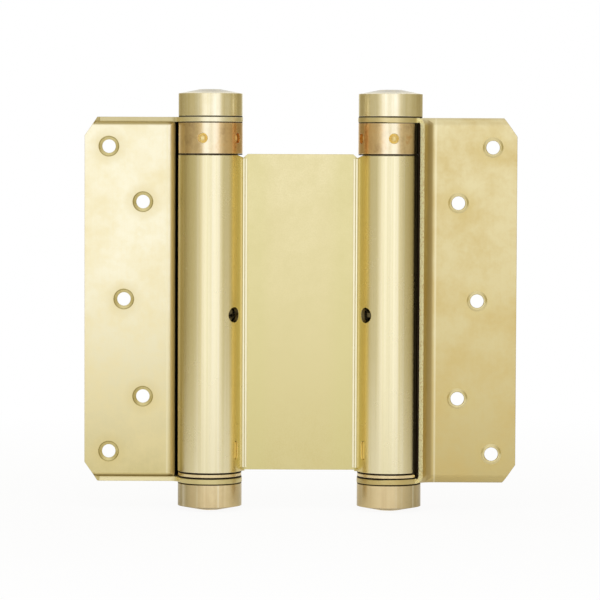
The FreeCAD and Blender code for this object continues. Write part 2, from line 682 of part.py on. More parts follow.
def make_pintle(side):
    body = new_body(side + "_pintle")
    turned(body, "rod", [("axis", "base"), ("pintle_radius", "base"),
                         ("pintle_radius", "pintle_length"), ("axis", "pintle_length")])
    place(body, side, height="-" + cell("pintle_length") + " / 2")
    return body


def make_cap(side, end):
    """A round cap with a sloping shoulder and a flat crown, standing on its open end."""
    body = new_body(f"{side}_{end}_cap")
    turned(body, "knob", [
        ("bore_radius", "base"), ("cap_radius", "base"), ("cap_radius", "cap_side_height"),
        ("cap_crown_radius", "cap_height"), ("axis", "cap_height"), ("axis", "cap_socket_depth"),
        ("bore_radius", "cap_socket_depth")])
    place(body, side)
    if end == "top":
        body.setExpression("Placement.Base.z", cell("cap_seat"))
    else:
        body.Placement.Rotation = FreeCAD.Rotation(FreeCAD.Vector(1, 0, 0), 180)
        body.setExpression("Placement.Rotation.Angle", "180")
        body.setExpression("Placement.Base.z", "-" + cell("cap_seat"))
    return body


# Tension collar
# It turns on the pintle. Its spigot sits in the barrel and holds the spring's upper end.


def tang_slot(body, name, height, downward):
    """A slot for the straight end of the spring's wire, open at the piece's end."""
    slot = Drawing(body, name + "_plan")
    slot.sketch.setExpression("AttachmentOffset.Base.z", height)
    near_x, far_x = mm("tang_slot_radius"), mm("barrel_radius")
    half = mm("tang_slot_width") / 2
    lines = slot.closed([(near_x, -half), (far_x, -half), (far_x, half), (near_x, half)])
    slot.level(lines[0], lines[2])
    slot.upright(lines[1], lines[3])
    slot.across(cell("tang_slot_radius"), lines[0], START)
    slot.along(f"-{cell('tang_slot_width')} / 2", lines[0], START)
    slot.across(cell("barrel_radius"), lines[1], END)
    slot.along(f"{cell('tang_slot_width')} / 2", lines[1], END)
    cut = feature(body, "Pocket", name, Length=cell("tang_slot_depth"))
    cut.Profile = slot.sketch
    cut.Reversed = not downward
    doc.recompute()
    return slot.sketch


def facing(side):
    """The turn that points a piece's +X at the tommy hole nearest the front."""
    return f"{cell(side + '_collar_turn')} - 90"


def make_collar(side):
    body = new_body(side + "_tension_collar")
    turned(body, "ring", [
        ("bore_radius", "base"), ("spigot_radius", "base"), ("spigot_radius", "spigot_reach"),
        ("collar_radius", "spigot_reach"), ("collar_radius", "collar_top"),
        ("bore_radius", "collar_top")])

    drill = Drawing(body, "drill_section", "XZ_Plane")
    level, radius = mm("tommy_height"), mm("tommy_radius")
    floor, mouth = mm("tommy_floor"), mm("tommy_mouth")
    lines = drill.closed([(floor, level), (mouth, level), (mouth, level + radius),
                          (floor, level + radius)])
    drill.level(lines[0], lines[2])
    drill.upright(lines[1], lines[3])
    drill.across(cell("tommy_floor"), lines[0], START)
    drill.along(cell("tommy_height"), lines[0], START)
    drill.across(cell("tommy_mouth"), lines[2], START)
    drill.along(f"{cell('tommy_height')} + {cell('tommy_radius')}", lines[2], START)
    hole = feature(body, "Groove", "tommy_hole")
    hole.Profile = drill.sketch
    hole.ReferenceAxis = (drill.sketch, [f"Edge{lines[0] + 1}"])
    hole.Angle = 360
    doc.recompute()
    holes = feature(body, "PolarPattern", "tommy_holes", Occurrences=cell("tommy_hole_count"))
    holes.Originals = [hole]
    holes.Axis = (origin_part(body, "Z_Axis"), [""])
    holes.Angle = 360
    body.Tip = holes
    doc.recompute()
    tang_slot(body, "spring_slot", "0", downward=False)
    place(body, side, height=cell("spigot_bottom"), turn=facing(side))
    return body


# Spring
# A torsion spring of square wire. It is wound close, so that its turns touch and its body is a
# sleeve, with a straight end of wire into the anchor and one into the collar.


def tang(body, name, height, up):
    """A straight end of the wire, which runs along the barrel from an end turn."""
    plan = Drawing(body, name + "_plan")
    plan.sketch.setExpression("AttachmentOffset.Base.z", height)
    inner, outer, half = mm("spring_inner_radius"), mm("spring_radius"), mm("half_wire")
    sides = plan.closed([(inner, -half), (outer, -half), (outer, half), (inner, half)])
    plan.level(sides[0], sides[2])
    plan.upright(sides[1], sides[3])
    plan.across(f"{cell('spring_radius')} - {cell('wire_size')}", sides[0], START)
    plan.along("-" + cell("half_wire"), sides[0], START)
    plan.across(f"sqrt({cell('spring_radius')} ^ 2 - {cell('half_wire')} ^ 2)", sides[2], START)
    plan.along(cell("half_wire"), sides[2], START)
    wire = feature(body, "Pad", name, Length=f"{cell('tang_length')} + {cell('half_wire')}")
    wire.Profile = plan.sketch
    wire.Reversed = not up
    doc.recompute()


def make_spring(side):
    body = new_body(side + "_spring")
    turned(body, "coil", [
        ("spring_inner_radius", "base"), ("spring_radius", "base"),
        ("spring_radius", "spring_length"), ("spring_inner_radius", "spring_length")])
    tang(body, "lower_tang", cell("half_wire"), up=False)
    tang(body, "upper_tang", f"{cell('spring_length')} - {cell('half_wire')}", up=True)
    place(body, side, height=cell("spring_bottom"), turn=facing(side))
    return body


# Spring anchor
# A plug in the barrel's lower end. Its key fills the slot in the barrel, and a slot in its
# upper end holds the spring.


def make_anchor(side):
    body = new_body(side + "_spring_anchor")
    turned(body, "plug", [("bore_radius", "base"), ("spigot_radius", "base"),
                          ("spigot_radius", "anchor_height"), ("bore_radius", "anchor_height")])
    key = Drawing(body, "key_outline", "XZ_Plane")
    key.sketch.setExpression("AttachmentOffset.Base.y", cell("key_height"))
    key.sketch.setExpression("AttachmentOffset.Base.z", cell("tang_slot_radius"))
    draw_oblong(key, "key_length", "key_width")
    boss = feature(body, "Pad", "key", Length=f"{cell('key_reach')} - {cell('tang_slot_radius')}")
    boss.Profile = key.sketch
    doc.recompute()
    stake_turn = {"left": "", "right": "-"}[side] + cell("stake_angle")
    slot = tang_slot(body, "spring_slot", cell("anchor_height"), downward=True)
    slot.AttachmentOffset = FreeCAD.Placement(
        FreeCAD.Vector(), FreeCAD.Rotation(FreeCAD.Vector(0, 0, 1), 1))
    slot.setExpression("AttachmentOffset.Base.z", cell("anchor_height"))
    slot.setExpression("AttachmentOffset.Rotation.Angle", f"{facing(side)} - ({stake_turn})")
    place(body, side, height=cell("anchor_bottom"), turn=stake_turn)
    return body


def make_washer(side):
    body = new_body(side + "_thrust_washer")
    turned(body, "ring", [("bore_radius", "base"), ("washer_radius", "base"),
                          ("washer_radius", "washer_thickness"), ("bore_radius", "washer_thickness")])
    place(body, side, height=cell("washer_bottom"))
    return body


# Putting the hinge together

pieces = [make_web_barrels()]
for hand in ("left", "right"):
    pieces.append(make_leaf(hand))
    pieces.append(make_pintle(hand))
    pieces.append(make_cap(hand, "top"))
    pieces.append(make_cap(hand, "bottom"))
    pieces.append(make_collar(hand))
    pieces.append(make_spring(hand))
    pieces.append(make_anchor(hand))
    pieces.append(make_washer(hand))
doc.recompute()

# Every object is sound before anything is written.
for thing in doc.Objects:
    if "Invalid" in thing.State or "Error" in thing.State:
        raise RuntimeError(f"{thing.Name} failed: {thing.State}")
for piece in pieces:
    if piece.Shape.isNull() or not piece.Shape.isValid() or len(piece.Shape.Solids) != 1:
        raise RuntimeError(f"{piece.Label} isn't one sound solid")

os.makedirs("parts", exist_ok=True)
for piece in pieces:
    piece.Shape.exportStep(f"parts/{piece.Label}.step")
    box = piece.Shape.BoundBox
    print(f"{piece.Label}: {piece.Shape.Volume:.1f} mm3, "
          f"x {box.XMin:.2f} to {box.XMax:.2f}, y {box.YMin:.2f} to {box.YMax:.2f}, "
          f"z {box.ZMin:.2f} to {box.ZMax:.2f}")
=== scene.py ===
# %% [markdown]
# # A double action cafe hinge
# The metalwork comes as a fixed frame of named pieces in metres: two pressed leaves, a rolled
# web with a barrel at each side, caps, tension collars and thrust washers. This lesson gives it
# a camera and a light, plates every piece, and adds the small forms that a plain model leaves
# out. The frame itself stays as it is.

# %% Load the frame
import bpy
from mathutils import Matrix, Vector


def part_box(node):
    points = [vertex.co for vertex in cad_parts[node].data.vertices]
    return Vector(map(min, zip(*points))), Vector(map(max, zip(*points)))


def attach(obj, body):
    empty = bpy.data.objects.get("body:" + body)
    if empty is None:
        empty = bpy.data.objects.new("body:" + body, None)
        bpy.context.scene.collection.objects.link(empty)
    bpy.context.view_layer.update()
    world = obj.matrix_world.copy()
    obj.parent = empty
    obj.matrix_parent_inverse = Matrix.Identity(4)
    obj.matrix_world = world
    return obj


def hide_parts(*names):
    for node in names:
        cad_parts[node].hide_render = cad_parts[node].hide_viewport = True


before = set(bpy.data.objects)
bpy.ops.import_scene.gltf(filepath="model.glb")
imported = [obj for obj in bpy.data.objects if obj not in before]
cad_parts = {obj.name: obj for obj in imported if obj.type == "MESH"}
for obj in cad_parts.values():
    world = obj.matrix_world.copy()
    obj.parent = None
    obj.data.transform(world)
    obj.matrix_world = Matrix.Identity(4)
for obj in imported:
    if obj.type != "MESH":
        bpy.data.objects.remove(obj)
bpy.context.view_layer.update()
print("pieces:", sorted(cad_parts))

# %% Tools
import math
from types import SimpleNamespace

import bmesh
import bpy
from mathutils import Vector

MM = 0.001
SIDES = {"left": -1, "right": 1}
LEAF_BODY = {"left": "jamb_leaf", "right": "door_leaf"}
BARREL_BODY = "double_barrel"


def add_object(name, data):
    made = bpy.data.objects.new(name, data)
    bpy.context.scene.collection.objects.link(made)
    return made


print("bodies:", LEAF_BODY, BARREL_BODY)

# %% [markdown]
# The frame gives the places. A pintle stands on each barrel axis, so the middle of its box is
# the axis, and the boxes of the other pieces give the heights. Typed numbers would do too, but
# measured ones stay right when the frame is made again.

# %% Measure the frame
def middle(node):
    low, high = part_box(node)
    return (low + high) / 2


def top(node):
    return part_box(node)[1].z


def bottom(node):
    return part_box(node)[0].z


axis_x = {side: middle(side + "_pintle").x for side in SIDES}
AXIS = axis_x["right"]
barrel_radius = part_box("web_barrels")[1].x - AXIS
foot = min(bottom(side + "_bottom_cap") for side in SIDES)
print("barrel axes at", {side: round(x / MM, 2) for side, x in axis_x.items()}, "mm")
print("barrels", round(2 * barrel_radius / MM, 2), "mm across, lowest point",
      round(foot / MM, 2), "mm")

# %% [markdown]
# ## Camera
# The hinge was taken from straight in front with a long lens, a little above its middle. The
# thin lines between cap, ear and collar bend slightly downwards, which tells how far above them
# the lens stood. A camera without perspective would be simpler, but these lines bend more near
# the foot than near the top, which only a lens at a real distance shows.

# %% Camera
CAMERA_DISTANCE = 1.06
CAMERA_RISE = math.radians(2.75)
CAMERA_ROLL = math.radians(-0.23)
CAMERA_ASIDE = -0.17 * MM
CAMERA_SIGHT = 100
SENSOR = 36.0
PICTURE = 600
PIXELS_A_METRE = 2930

camera_data = bpy.data.cameras.new("long_lens")
camera_data.sensor_width = SENSOR
camera_data.lens = SENSOR * PIXELS_A_METRE * CAMERA_DISTANCE / PICTURE
camera_data.clip_end = CAMERA_SIGHT
camera = add_object("long_lens", camera_data)
camera.location = (CAMERA_ASIDE, -CAMERA_DISTANCE * math.cos(CAMERA_RISE),
                   CAMERA_DISTANCE * math.sin(CAMERA_RISE))
camera.rotation_mode = "XYZ"
camera.rotation_euler = (math.pi / 2 - CAMERA_RISE, CAMERA_ROLL, 0)
bpy.context.scene.camera = camera
print("lens", round(camera_data.lens), "mm")

# %% [markdown]
# ## Nodes in few words
# Materials and the world are node trees. This small helper adds a node, sets its sockets and
# joins it to others: a value that is itself a socket becomes a wire. A mask is a value from 0
# to 1 that says where on the surface something happens. Painted image maps could say it too,
# but a mask from a formula stays sharp at any size. In a pair of limits a mask is 0 at the
# first and 1 at the second. A band is its low end, its high end and the soft width outside.


# %% A helper for node trees
class Wiring:
    """Adds nodes to the tree of a material or of the world."""

    def __init__(self, owner):
        owner.use_nodes = True
        self.tree = owner.node_tree
        self.tree.nodes.clear()

    def node(self, kind, sockets=None, **settings):
        made = self.tree.nodes.new("ShaderNode" + kind)
        for name, value in settings.items():
            setattr(made, name, value)
        for name, value in (sockets or {}).items():
            self.feed(made.inputs[name], value)
        return made

    def feed(self, socket, value):
        if isinstance(value, bpy.types.NodeSocket):
            self.tree.links.new(value, socket)
        else:
            socket.default_value = value

    def sum(self, operation, *values):
        made = self.node("Math", operation=operation)
        for socket, value in zip(made.inputs, values):
            self.feed(socket, value)
        return made.outputs[0]

    def length(self, along, across):
        squares = [self.sum("POWER", way, 2.0) for way in (along, across)]
        return self.sum("SQRT", self.sum("ADD", *squares))

    def ramp(self, factor, stops):
        """A colour for each place along a factor; stops are (place, colour) pairs."""
        made = self.node("ValToRGB", {"Fac": factor})
        steps = made.color_ramp.elements
        steps.remove(steps[1])
        steps[0].position = stops[0][0]
        steps[0].color = (*stops[0][1], 1)
        for place, colour in stops[1:]:
            steps.new(place).color = (*colour, 1)
        return made.outputs["Color"]

    def blend(self, factor, one, other):
        """One colour where the factor is 0 and the other where it is 1."""
        made = self.node("Mix", data_type="RGBA")
        for socket, value in ((0, factor), (6, one), (7, other)):
            if isinstance(value, tuple):
                value = (*value, 1)
            self.feed(made.inputs[socket], value)
        return made.outputs[2]


print("wiring ready")


# %% Masks and coats
class Painting(Wiring):
    """Wiring with masks, and a colour and roughness that change where the masks are 1."""

    colour = roughness = None

    def between(self, value, low, high):
        """0 at low and beyond it, 1 at high and beyond it, and a straight run in between."""
        made = self.node("MapRange", {"Value": value, "From Min": low, "From Max": high})
        return made.outputs["Result"]

    def within(self, value, low, high, soft):
        """1 from low to high, falling to 0 over a soft width outside them."""
        rise = self.between(value, low - soft, low)
        fall = self.between(value, high + soft, high)
        return self.overlap(rise, fall)

    def overlap(self, *masks):
        """1 where every mask is 1."""
        shared = masks[0]
        for mask in masks[1:]:
            shared = self.sum("MULTIPLY", shared, mask)
        return shared

    def either(self, *masks):
        """The largest of the masks."""
        largest = masks[0]
        for mask in masks[1:]:
            largest = self.sum("MAXIMUM", largest, mask)
        return largest

    def coat(self, layer, *masks):
        """Lays on a layer, which is a tone and the share of it that covers."""
        tone, cover = layer
        self.colour = self.blend(self.overlap(*masks, cover), self.colour, tone)

    def roughen(self, share, mask):
        self.roughness = self.sum("ADD", self.roughness, self.overlap(mask, share))

    def open_sky(self, distance, rays):
        """1 where nothing stands within a distance in millimetres, less in a crevice."""
        return self.node("AmbientOcclusion", {"Distance": distance * MM},
                         samples=rays).outputs["AO"]


print("masks ready")

# %% [markdown]
# ## Light
# Polished metal shows the room, so a maker of such pictures builds a room for it: a light tent.
# The walls in front and behind are white, and olive cards stand at both sides, so that round
# pieces turn from bright to deep. A thin gap in the front wall leaves room for the lens. A row
# of lamps would leave hard spots on the metal, so the tent is a dome of glowing cloth that the
# camera looks through. Each direction has its own tone, written as degrees from the front.
# Behind it lies a plain white world, and a weak lamp overhead gives the shadow its direction.

# %% The light tent
TENT = [
    (0, (0.89, 0.86, 0.76)), (4, (0.95, 0.93, 0.86)), (8, (1.10, 1.10, 1.12)),
    (24, (1.12, 1.12, 1.15)), (35, (0.78, 0.72, 0.56)), (50, (0.52, 0.47, 0.31)),
    (66, (0.56, 0.50, 0.33)), (85, (0.46, 0.40, 0.23)), (125, (0.34, 0.28, 0.14)),
    (152, (0.44, 0.38, 0.22)), (168, (0.96, 0.94, 0.88)), (180, (1.0, 1.0, 1.0)),
]
CEILING = (0.74, 0.72, 0.68)
CEILING_STARTS = (0.3, 0.75)
TENT_RADIUS = 0.45
ROOF_STEPS = 12
ROUND_STEPS = 64


def tent_mesh():
    """A dome: rings of points that narrow upwards, and one point at the top."""
    points = []
    for step in range(ROOF_STEPS):
        lift = math.pi / 2 * step / ROOF_STEPS
        for turn in range(ROUND_STEPS):
            heading = 2 * math.pi * turn / ROUND_STEPS
            points.append((TENT_RADIUS * math.cos(lift) * math.sin(heading),
                           TENT_RADIUS * math.cos(lift) * math.cos(heading),
                           TENT_RADIUS * math.sin(lift) + foot))
    points.append((0, 0, TENT_RADIUS + foot))
    faces = []
    for step in range(ROOF_STEPS):
        for turn in range(ROUND_STEPS):
            here = step * ROUND_STEPS + turn
            there = step * ROUND_STEPS + (turn + 1) % ROUND_STEPS
            if step == ROOF_STEPS - 1:
                faces.append((here, there, len(points) - 1))
            else:
                faces.append((here, there, there + ROUND_STEPS, here + ROUND_STEPS))
    mesh = bpy.data.meshes.new("light_tent")
    mesh.from_pydata(points, [], faces)
    return mesh


def tent_cloth():
    """Cloth that glows in the tone of its direction."""
    cloth = bpy.data.materials.new("tent_cloth")
    wires = Painting(cloth)
    place = wires.node("TexCoord").outputs["Object"]
    heading = wires.node("SeparateXYZ", {
        "Vector": wires.node("VectorMath", {0: place}, operation="NORMALIZE").outputs[0]})
    front = wires.sum("MULTIPLY", heading.outputs["Y"], -1.0)
    turn = wires.sum("ABSOLUTE", wires.sum("ARCTAN2", heading.outputs["X"], front))
    walls = wires.ramp(wires.sum("DIVIDE", turn, math.pi),
                       [(degrees / 180, colour) for degrees, colour in TENT])
    height = wires.between(heading.outputs["Z"], *CEILING_STARTS)
    glow = wires.node("Emission", {"Color": wires.blend(height, walls, CEILING), "Strength": 1.0})
    wires.node("OutputMaterial", {"Surface": glow.outputs[0]})
    return cloth


tent = add_object("light_tent", tent_mesh())
tent.data.materials.append(tent_cloth())
tent.visible_camera = False
tent.visible_shadow = False
print("tent walls:", len(TENT), "tones from the front to the back")

# %% White world
world = bpy.data.worlds.new("white_world")
bpy.context.scene.world = world
sky_wires = Wiring(world)
sky = sky_wires.node("Background", {"Color": (1, 1, 1, 1), "Strength": 1.0})
sky_wires.node("OutputWorld", {"Surface": sky.outputs[0]})
print("world:", world.name)

# %% Lamp
LAMP_PLACE = Vector((0, -0.35, 1.1))
LAMP_SIZE = (1.2, 0.9)
LAMP_WATTS = 3

lamp_data = bpy.data.lights.new("overhead", "AREA")
lamp_data.shape = "RECTANGLE"
lamp_data.size, lamp_data.size_y = LAMP_SIZE
lamp_data.energy = LAMP_WATTS
lamp = add_object("overhead", lamp_data)
lamp.location = LAMP_PLACE
lamp.rotation_mode = "QUATERNION"
lamp.rotation_quaternion = (-LAMP_PLACE).to_track_quat("-Z", "Y")
print("lamp:", lamp.name, LAMP_WATTS, "watts")

# %% [markdown]
# ## Floor
# A pale floor under the lowest caps catches a faint shadow. A plain white sheet would end in a
# line and tint the metal, so away from the hinge this one fades into the white behind it: the
# eye, mirrors and clear things all see it white, and the matt part of it keeps the shadow.

# %% Floor
FLOOR_SIZE = 12.0
PAPER = (0.9, 0.9, 0.9, 1)
# The share of plain white near the hinge, and from which distance to which it grows to 1.
EYE_WHITE = (0.92, 0.1, 0.4)
MIRROR_WHITE = (0.2, 0.35, 0.5)


def white_share(wires, reach, near, start, end):
    growth = wires.sum("MULTIPLY", wires.between(reach, start, end), 1 - near)
    return wires.sum("ADD", near, growth)


def white_paper():
    paper = bpy.data.materials.new("white_paper")
    wires = Painting(paper)
    place = wires.node("TexCoord").outputs["Object"]
    reach = wires.node("VectorMath", {0: place}, operation="LENGTH").outputs["Value"]
    matt = wires.node("BsdfDiffuse", {"Color": PAPER})
    white = wires.node("Emission", {"Color": (1, 1, 1, 1), "Strength": 1.0})
    ray = wires.node("LightPath").outputs
    eye = wires.overlap(ray["Is Camera Ray"], white_share(wires, reach, *EYE_WHITE))
    mirror = wires.overlap(wires.either(ray["Is Glossy Ray"], ray["Is Transmission Ray"]),
                           white_share(wires, reach, *MIRROR_WHITE))
    mix = wires.node("MixShader", {0: wires.either(eye, mirror), 1: matt.outputs[0],
                                   2: white.outputs[0]})
    wires.node("OutputMaterial", {"Surface": mix.outputs[0]})
    return paper


half = FLOOR_SIZE / 2
floor_mesh = bpy.data.meshes.new("floor")
floor_mesh.from_pydata([(-half, -half, foot), (half, -half, foot), (half, half, foot),
                        (-half, half, foot)], [], [(0, 1, 2, 3)])
floor_mesh.materials.append(white_paper())
add_object("floor", floor_mesh)
print("floor at", round(foot / MM, 2), "mm")

# %% [markdown]
# ## Where on the hinge?
# The plating isn't the same everywhere: the rolled barrels were polished, the flat sheet was
# only plated, and corners hold old oil and painted shade. Such places could be painted on by
# hand, but a material can also tell them apart by where they are on the hinge. As both halves are
# alike, it is enough to know how far a point lies from the nearer barrel axis, and whether it
# lies on the side of the web or of the leaf.


# %% A map of the hinge
class Spot:
    """Sockets that say where a point of the hinge lies, in millimetres.

    outwards is the distance from the nearer barrel axis towards the leaf, negative on the web,
    and radius is the distance from that axis all round. height and depth are z and y unsigned.
    """

    def __init__(self, wires):
        self.place = wires.node("TexCoord").outputs["Object"]
        metres = wires.node("SeparateXYZ", {"Vector": self.place}).outputs
        self.x = wires.sum("DIVIDE", metres["X"], MM)
        self.y = wires.sum("DIVIDE", metres["Y"], MM)
        self.z = wires.sum("DIVIDE", metres["Z"], MM)
        self.outwards = wires.sum("SUBTRACT", wires.sum("ABSOLUTE", self.x), AXIS / MM)
        self.radius = wires.length(self.outwards, self.y)
        self.height = wires.sum("ABSOLUTE", self.z)
        self.depth = wires.sum("ABSOLUTE", self.y)


print("map: millimetres from the nearer barrel axis at", round(AXIS / MM, 2))

# %% [markdown]
# ## Marks
# Grain, clouds, stains and brush strokes are one kind of noise at other sizes. A photo of brass
# wrapped round the pieces would show seams, and noise that fills the space has none.
# Stretched along the height it makes the long strokes of brush and belt.

# %% Noises
# The width of the patches in millimetres, their detail and their roughness.
NOISES = {
    "clouds": (40 / 3, 4.0, 0.6),
    "stains": (2.5, 6.0, 0.65),
    "specks": (0.35, 2.0, 0.5),
    "strokes": (0.4, 3.0, 0.5),
    "streaks": (1.6, 3.0, 0.6),
    "waves": (9.0, 1.0, 0.5),
    "pits": (0.7, 3.0, 0.5),
    "blotches": (5.0, 5.0, 0.7),
}
# How much slower the long marks change upwards than across.
LONG = {"strokes": 0.02, "streaks": 0.004}


def noise(paint, spot, kind):
    place = spot.place
    if kind in LONG:
        stretch = {"Vector": place, "Scale": (1.0, 1.0, LONG[kind])}
        place = paint.node("Mapping", stretch).outputs[0]
    size, detail, rough = NOISES[kind]
    return paint.node("TexNoise", {"Vector": place, "Scale": 1 / (size * MM), "Detail": detail,
                                   "Roughness": rough}).outputs["Fac"]


print("kinds of marks:", *NOISES)

# %% [markdown]
# ## Brass
# The hinge is steel sheet plated with pale brass. A plated metal is one shader with its
# metallic value at 1: the colour comes from what it mirrors, tinted by the plating. Alone, that
# looks like a flat yellow mirror. So the tone gets broad clouds and small stains, and brown
# grime where nothing polishes, with painted shade in the same crevices, which the Ambient
# Occlusion node finds.

# %% Tones of the plating
# Grime and painted shade, laid into the crevices.
GRIME_AND_SHADE = (0.05, 0.03, 0.012)
# What each plating has unless it says otherwise.
PLAIN = {
    # The fall is painted shade, deeper towards the foot.
    "fall": None,       # a second tone, into which the first turns towards the foot
    "fall_from": 60.0,  # where that starts, in millimetres
    "cloud": 0.35,      # share of the deeper tone in the clouds
    "mottle": 0.3,      # in the stains
    "speckle": 0.0,     # and in the specks
    # The crevice share paints grime and shade together.
    "crevice": 0.75,    # share of grime in the crevices
    "worn": 0.12,       # share of the edge tone on worn edges
    "edge_tone": (0.98, 0.95, 0.80),
    "edge": 0.25,       # radius of the rounded edges in millimetres
    "streaks": 0.0,     # long marks of the polishing belt
    "brushed": 0.0,     # fine brush strokes
    "grain": 0.25,      # relief of the grain
    "ripple": 0.0,      # and of slow waves
    "smooth": None,     # mask of the places without grain
    "places": None,     # paints what differs from place to place
    "over": None,       # paints on top of it all
}
FALL_TO = -60.0
CLOUDS_SHOW = (0.42, 0.72)
STAINS_SHOW = (0.45, 0.75)
SPECKS_SHOW = (0.4, 0.65)
CREVICE_SHOWS = (0.62, 0.15)
CREVICE_SIZE = 3.0
CREVICE_RAYS = 8
CLOUDS_ROUGHEN = 0.08
STAINS_ROUGHEN = 0.06


def lay_tones(paint, spot, look, specks, grainy):
    paint.colour, paint.roughness = look.tone, look.rough
    # Painted shade, deeper towards the foot.
    if look.fall:
        paint.coat((look.fall, 1.0), paint.between(spot.z, look.fall_from, FALL_TO))
    clouds = noise(paint, spot, "clouds")
    stains = noise(paint, spot, "stains")
    paint.coat((look.deep, look.cloud), paint.between(clouds, *CLOUDS_SHOW))
    if look.speckle:
        paint.coat((look.deep, look.speckle), paint.between(specks, *SPECKS_SHOW))
    paint.coat((look.deep, look.mottle), paint.between(stains, *STAINS_SHOW), grainy)
    # Grime and painted shade in the crevices.
    crevices = paint.between(paint.open_sky(CREVICE_SIZE, CREVICE_RAYS), *CREVICE_SHOWS)
    paint.coat((GRIME_AND_SHADE, look.crevice), crevices)
    paint.roughen(CLOUDS_ROUGHEN, clouds)
    paint.roughen(STAINS_ROUGHEN, stains)


print("plain plating:", len(PLAIN), "settings")

# %% [markdown]
# ## Wear
# Hands, cloths and the polishing belt leave their marks. A bevel on every edge of the mesh
# would show worn edges, but the frame is fixed. The Bevel node rounds the edges for the light
# alone, and where its direction departs from the true one there is a worn edge. Belt and brush
# leave long marks, deep and pale ones.

# %% Marks of use
BEVEL_RAYS = 6
EDGES_SHOW = (0.995, 0.9)
CHIPS_SHOW = (0.35, 0.6)
PALE_STREAK = (1.0, 0.96, 0.80)
DEEP_STREAKS_SHOW = (0.45, 0.65)
PALE_STREAKS_SHOW = (0.42, 0.30)
STROKES_SHOW = (0.45, 0.75)
STROKE_SHARE = 0.12


def wear_edges(paint, look, specks):
    """Paints the worn edges and gives the direction of the rounded surface."""
    rounded = paint.node("Bevel", {"Radius": look.edge * MM}, samples=BEVEL_RAYS).outputs[0]
    true = paint.node("NewGeometry").outputs["Normal"]
    turned = paint.node("VectorMath", {0: rounded, 1: true}, operation="DOT_PRODUCT")
    paint.coat((look.edge_tone, look.worn),
               paint.between(turned.outputs["Value"], *EDGES_SHOW),
               paint.between(specks, *CHIPS_SHOW))
    return rounded


def rub(paint, spot, look, specks, polished):
    """Paints the marks of belt and brush and gives the relief that they leave."""
    if look.streaks:
        streaks = noise(paint, spot, "streaks")
        for tone, limits in ((look.deep, DEEP_STREAKS_SHOW), (PALE_STREAK, PALE_STREAKS_SHOW)):
            paint.coat((tone, look.streaks), polished, paint.between(streaks, *limits))
    relief = specks
    if look.brushed:
        strokes = noise(paint, spot, "strokes")
        relief = paint.sum("ADD", relief, paint.sum("MULTIPLY", strokes, look.brushed))
        paint.coat((look.deep, STROKE_SHARE * look.brushed),
                   paint.between(strokes, *STROKES_SHOW))
    return relief


print("marks of use ready")

# %% Plating
GRAIN_DEPTH = 0.03
WAVE_DEPTH = 0.2
SMOOTHED = 0.85


def plated(name, tone, deep, rough, **changes):
    """A plating: its tone, a deeper tone for its marks, its roughness and changes to PLAIN."""
    look = SimpleNamespace(tone=tone, deep=deep, rough=rough, **{**PLAIN, **changes})
    made = bpy.data.materials.new(name)
    paint = Painting(made)
    spot = Spot(paint)
    specks = noise(paint, spot, "specks")
    polished = grainy = 1.0
    if look.smooth:
        polished = look.smooth(paint, spot)
        grainy = paint.sum("SUBTRACT", 1.0, paint.overlap(polished, SMOOTHED))

    lay_tones(paint, spot, look, specks, grainy)
    if look.places:
        look.places(paint, spot)
    rounded = wear_edges(paint, look, specks)
    relief = rub(paint, spot, look, specks, polished)
    if look.over:
        look.over(paint, spot)

    bump = paint.node("Bump", {
        "Strength": look.grain, "Distance": GRAIN_DEPTH * MM,
        "Height": paint.overlap(relief, grainy), "Normal": rounded})
    if look.ripple:
        bump = paint.node("Bump", {
            "Strength": look.ripple, "Distance": WAVE_DEPTH * MM,
            "Height": noise(paint, spot, "waves"), "Normal": bump.outputs[0]})
    shine = paint.node("BsdfPrincipled", {
        "Base Color": paint.colour, "Metallic": 1.0, "Normal": bump.outputs[0],
        "Roughness": paint.roughness})
    paint.node("OutputMaterial", {"Surface": shine.outputs[0]})
    return made


def dress(node, material):
    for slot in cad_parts[node].material_slots:
        slot.material = material


print("plating ready")

# %% [markdown]
# ## Screw holes
# The countersinks are painted olive and dull, with a paler bevel inside and a faint darker ring
# round them. A second material on their faces would end in a hard line, so the leaf's own
# material finds them by their distance from each screw. The screws stand at three distances from
# the barrel, alike above and below the middle.

# %% Tones of the screw holes
# (outwards from the barrel axis, up from the middle) in millimetres.
SCREWS = [(34.75, 52.2), (23.1, 33.3), (29.6, 0.0)]
# Distances from the screw's middle.
SINK = (3.58, 3.5)
SINK_BEVEL = (3.35, 3.05)
HALO = (7.0, 3.5)
PLATE_FACE = 3.5
BELOW_FACE = (3.4, 3.2)

HALO_COAT = ((0.70, 0.56, 0.22), 0.3)
SINK_TONE = (0.46, 0.39, 0.15)
SINK_BEVEL_TONE = (0.84, 0.77, 0.46)
SINK_COVER = 0.8


def tone_screw_holes(paint, spot):
    """Paints the screw holes and gives the mask of the countersinks."""
    sink = bevel = halo = 0.0
    for out, up in SCREWS:
        reach = paint.length(paint.sum("SUBTRACT", spot.outwards, out),
                             paint.sum("SUBTRACT", spot.height, up))
        sink = paint.either(sink, paint.between(reach, *SINK))
        bevel = paint.either(bevel, paint.between(reach, *SINK_BEVEL))
        halo = paint.either(halo, paint.between(reach, *HALO))
    paint.coat(HALO_COAT, halo)
    sink = paint.overlap(sink, paint.between(spot.depth, *BELOW_FACE))
    olive = paint.blend(bevel, SINK_TONE, SINK_BEVEL_TONE)
    paint.coat((olive, SINK_COVER), sink)
    return sink


print("screw holes in a leaf:", sum(2 if up else 1 for _, up in SCREWS))
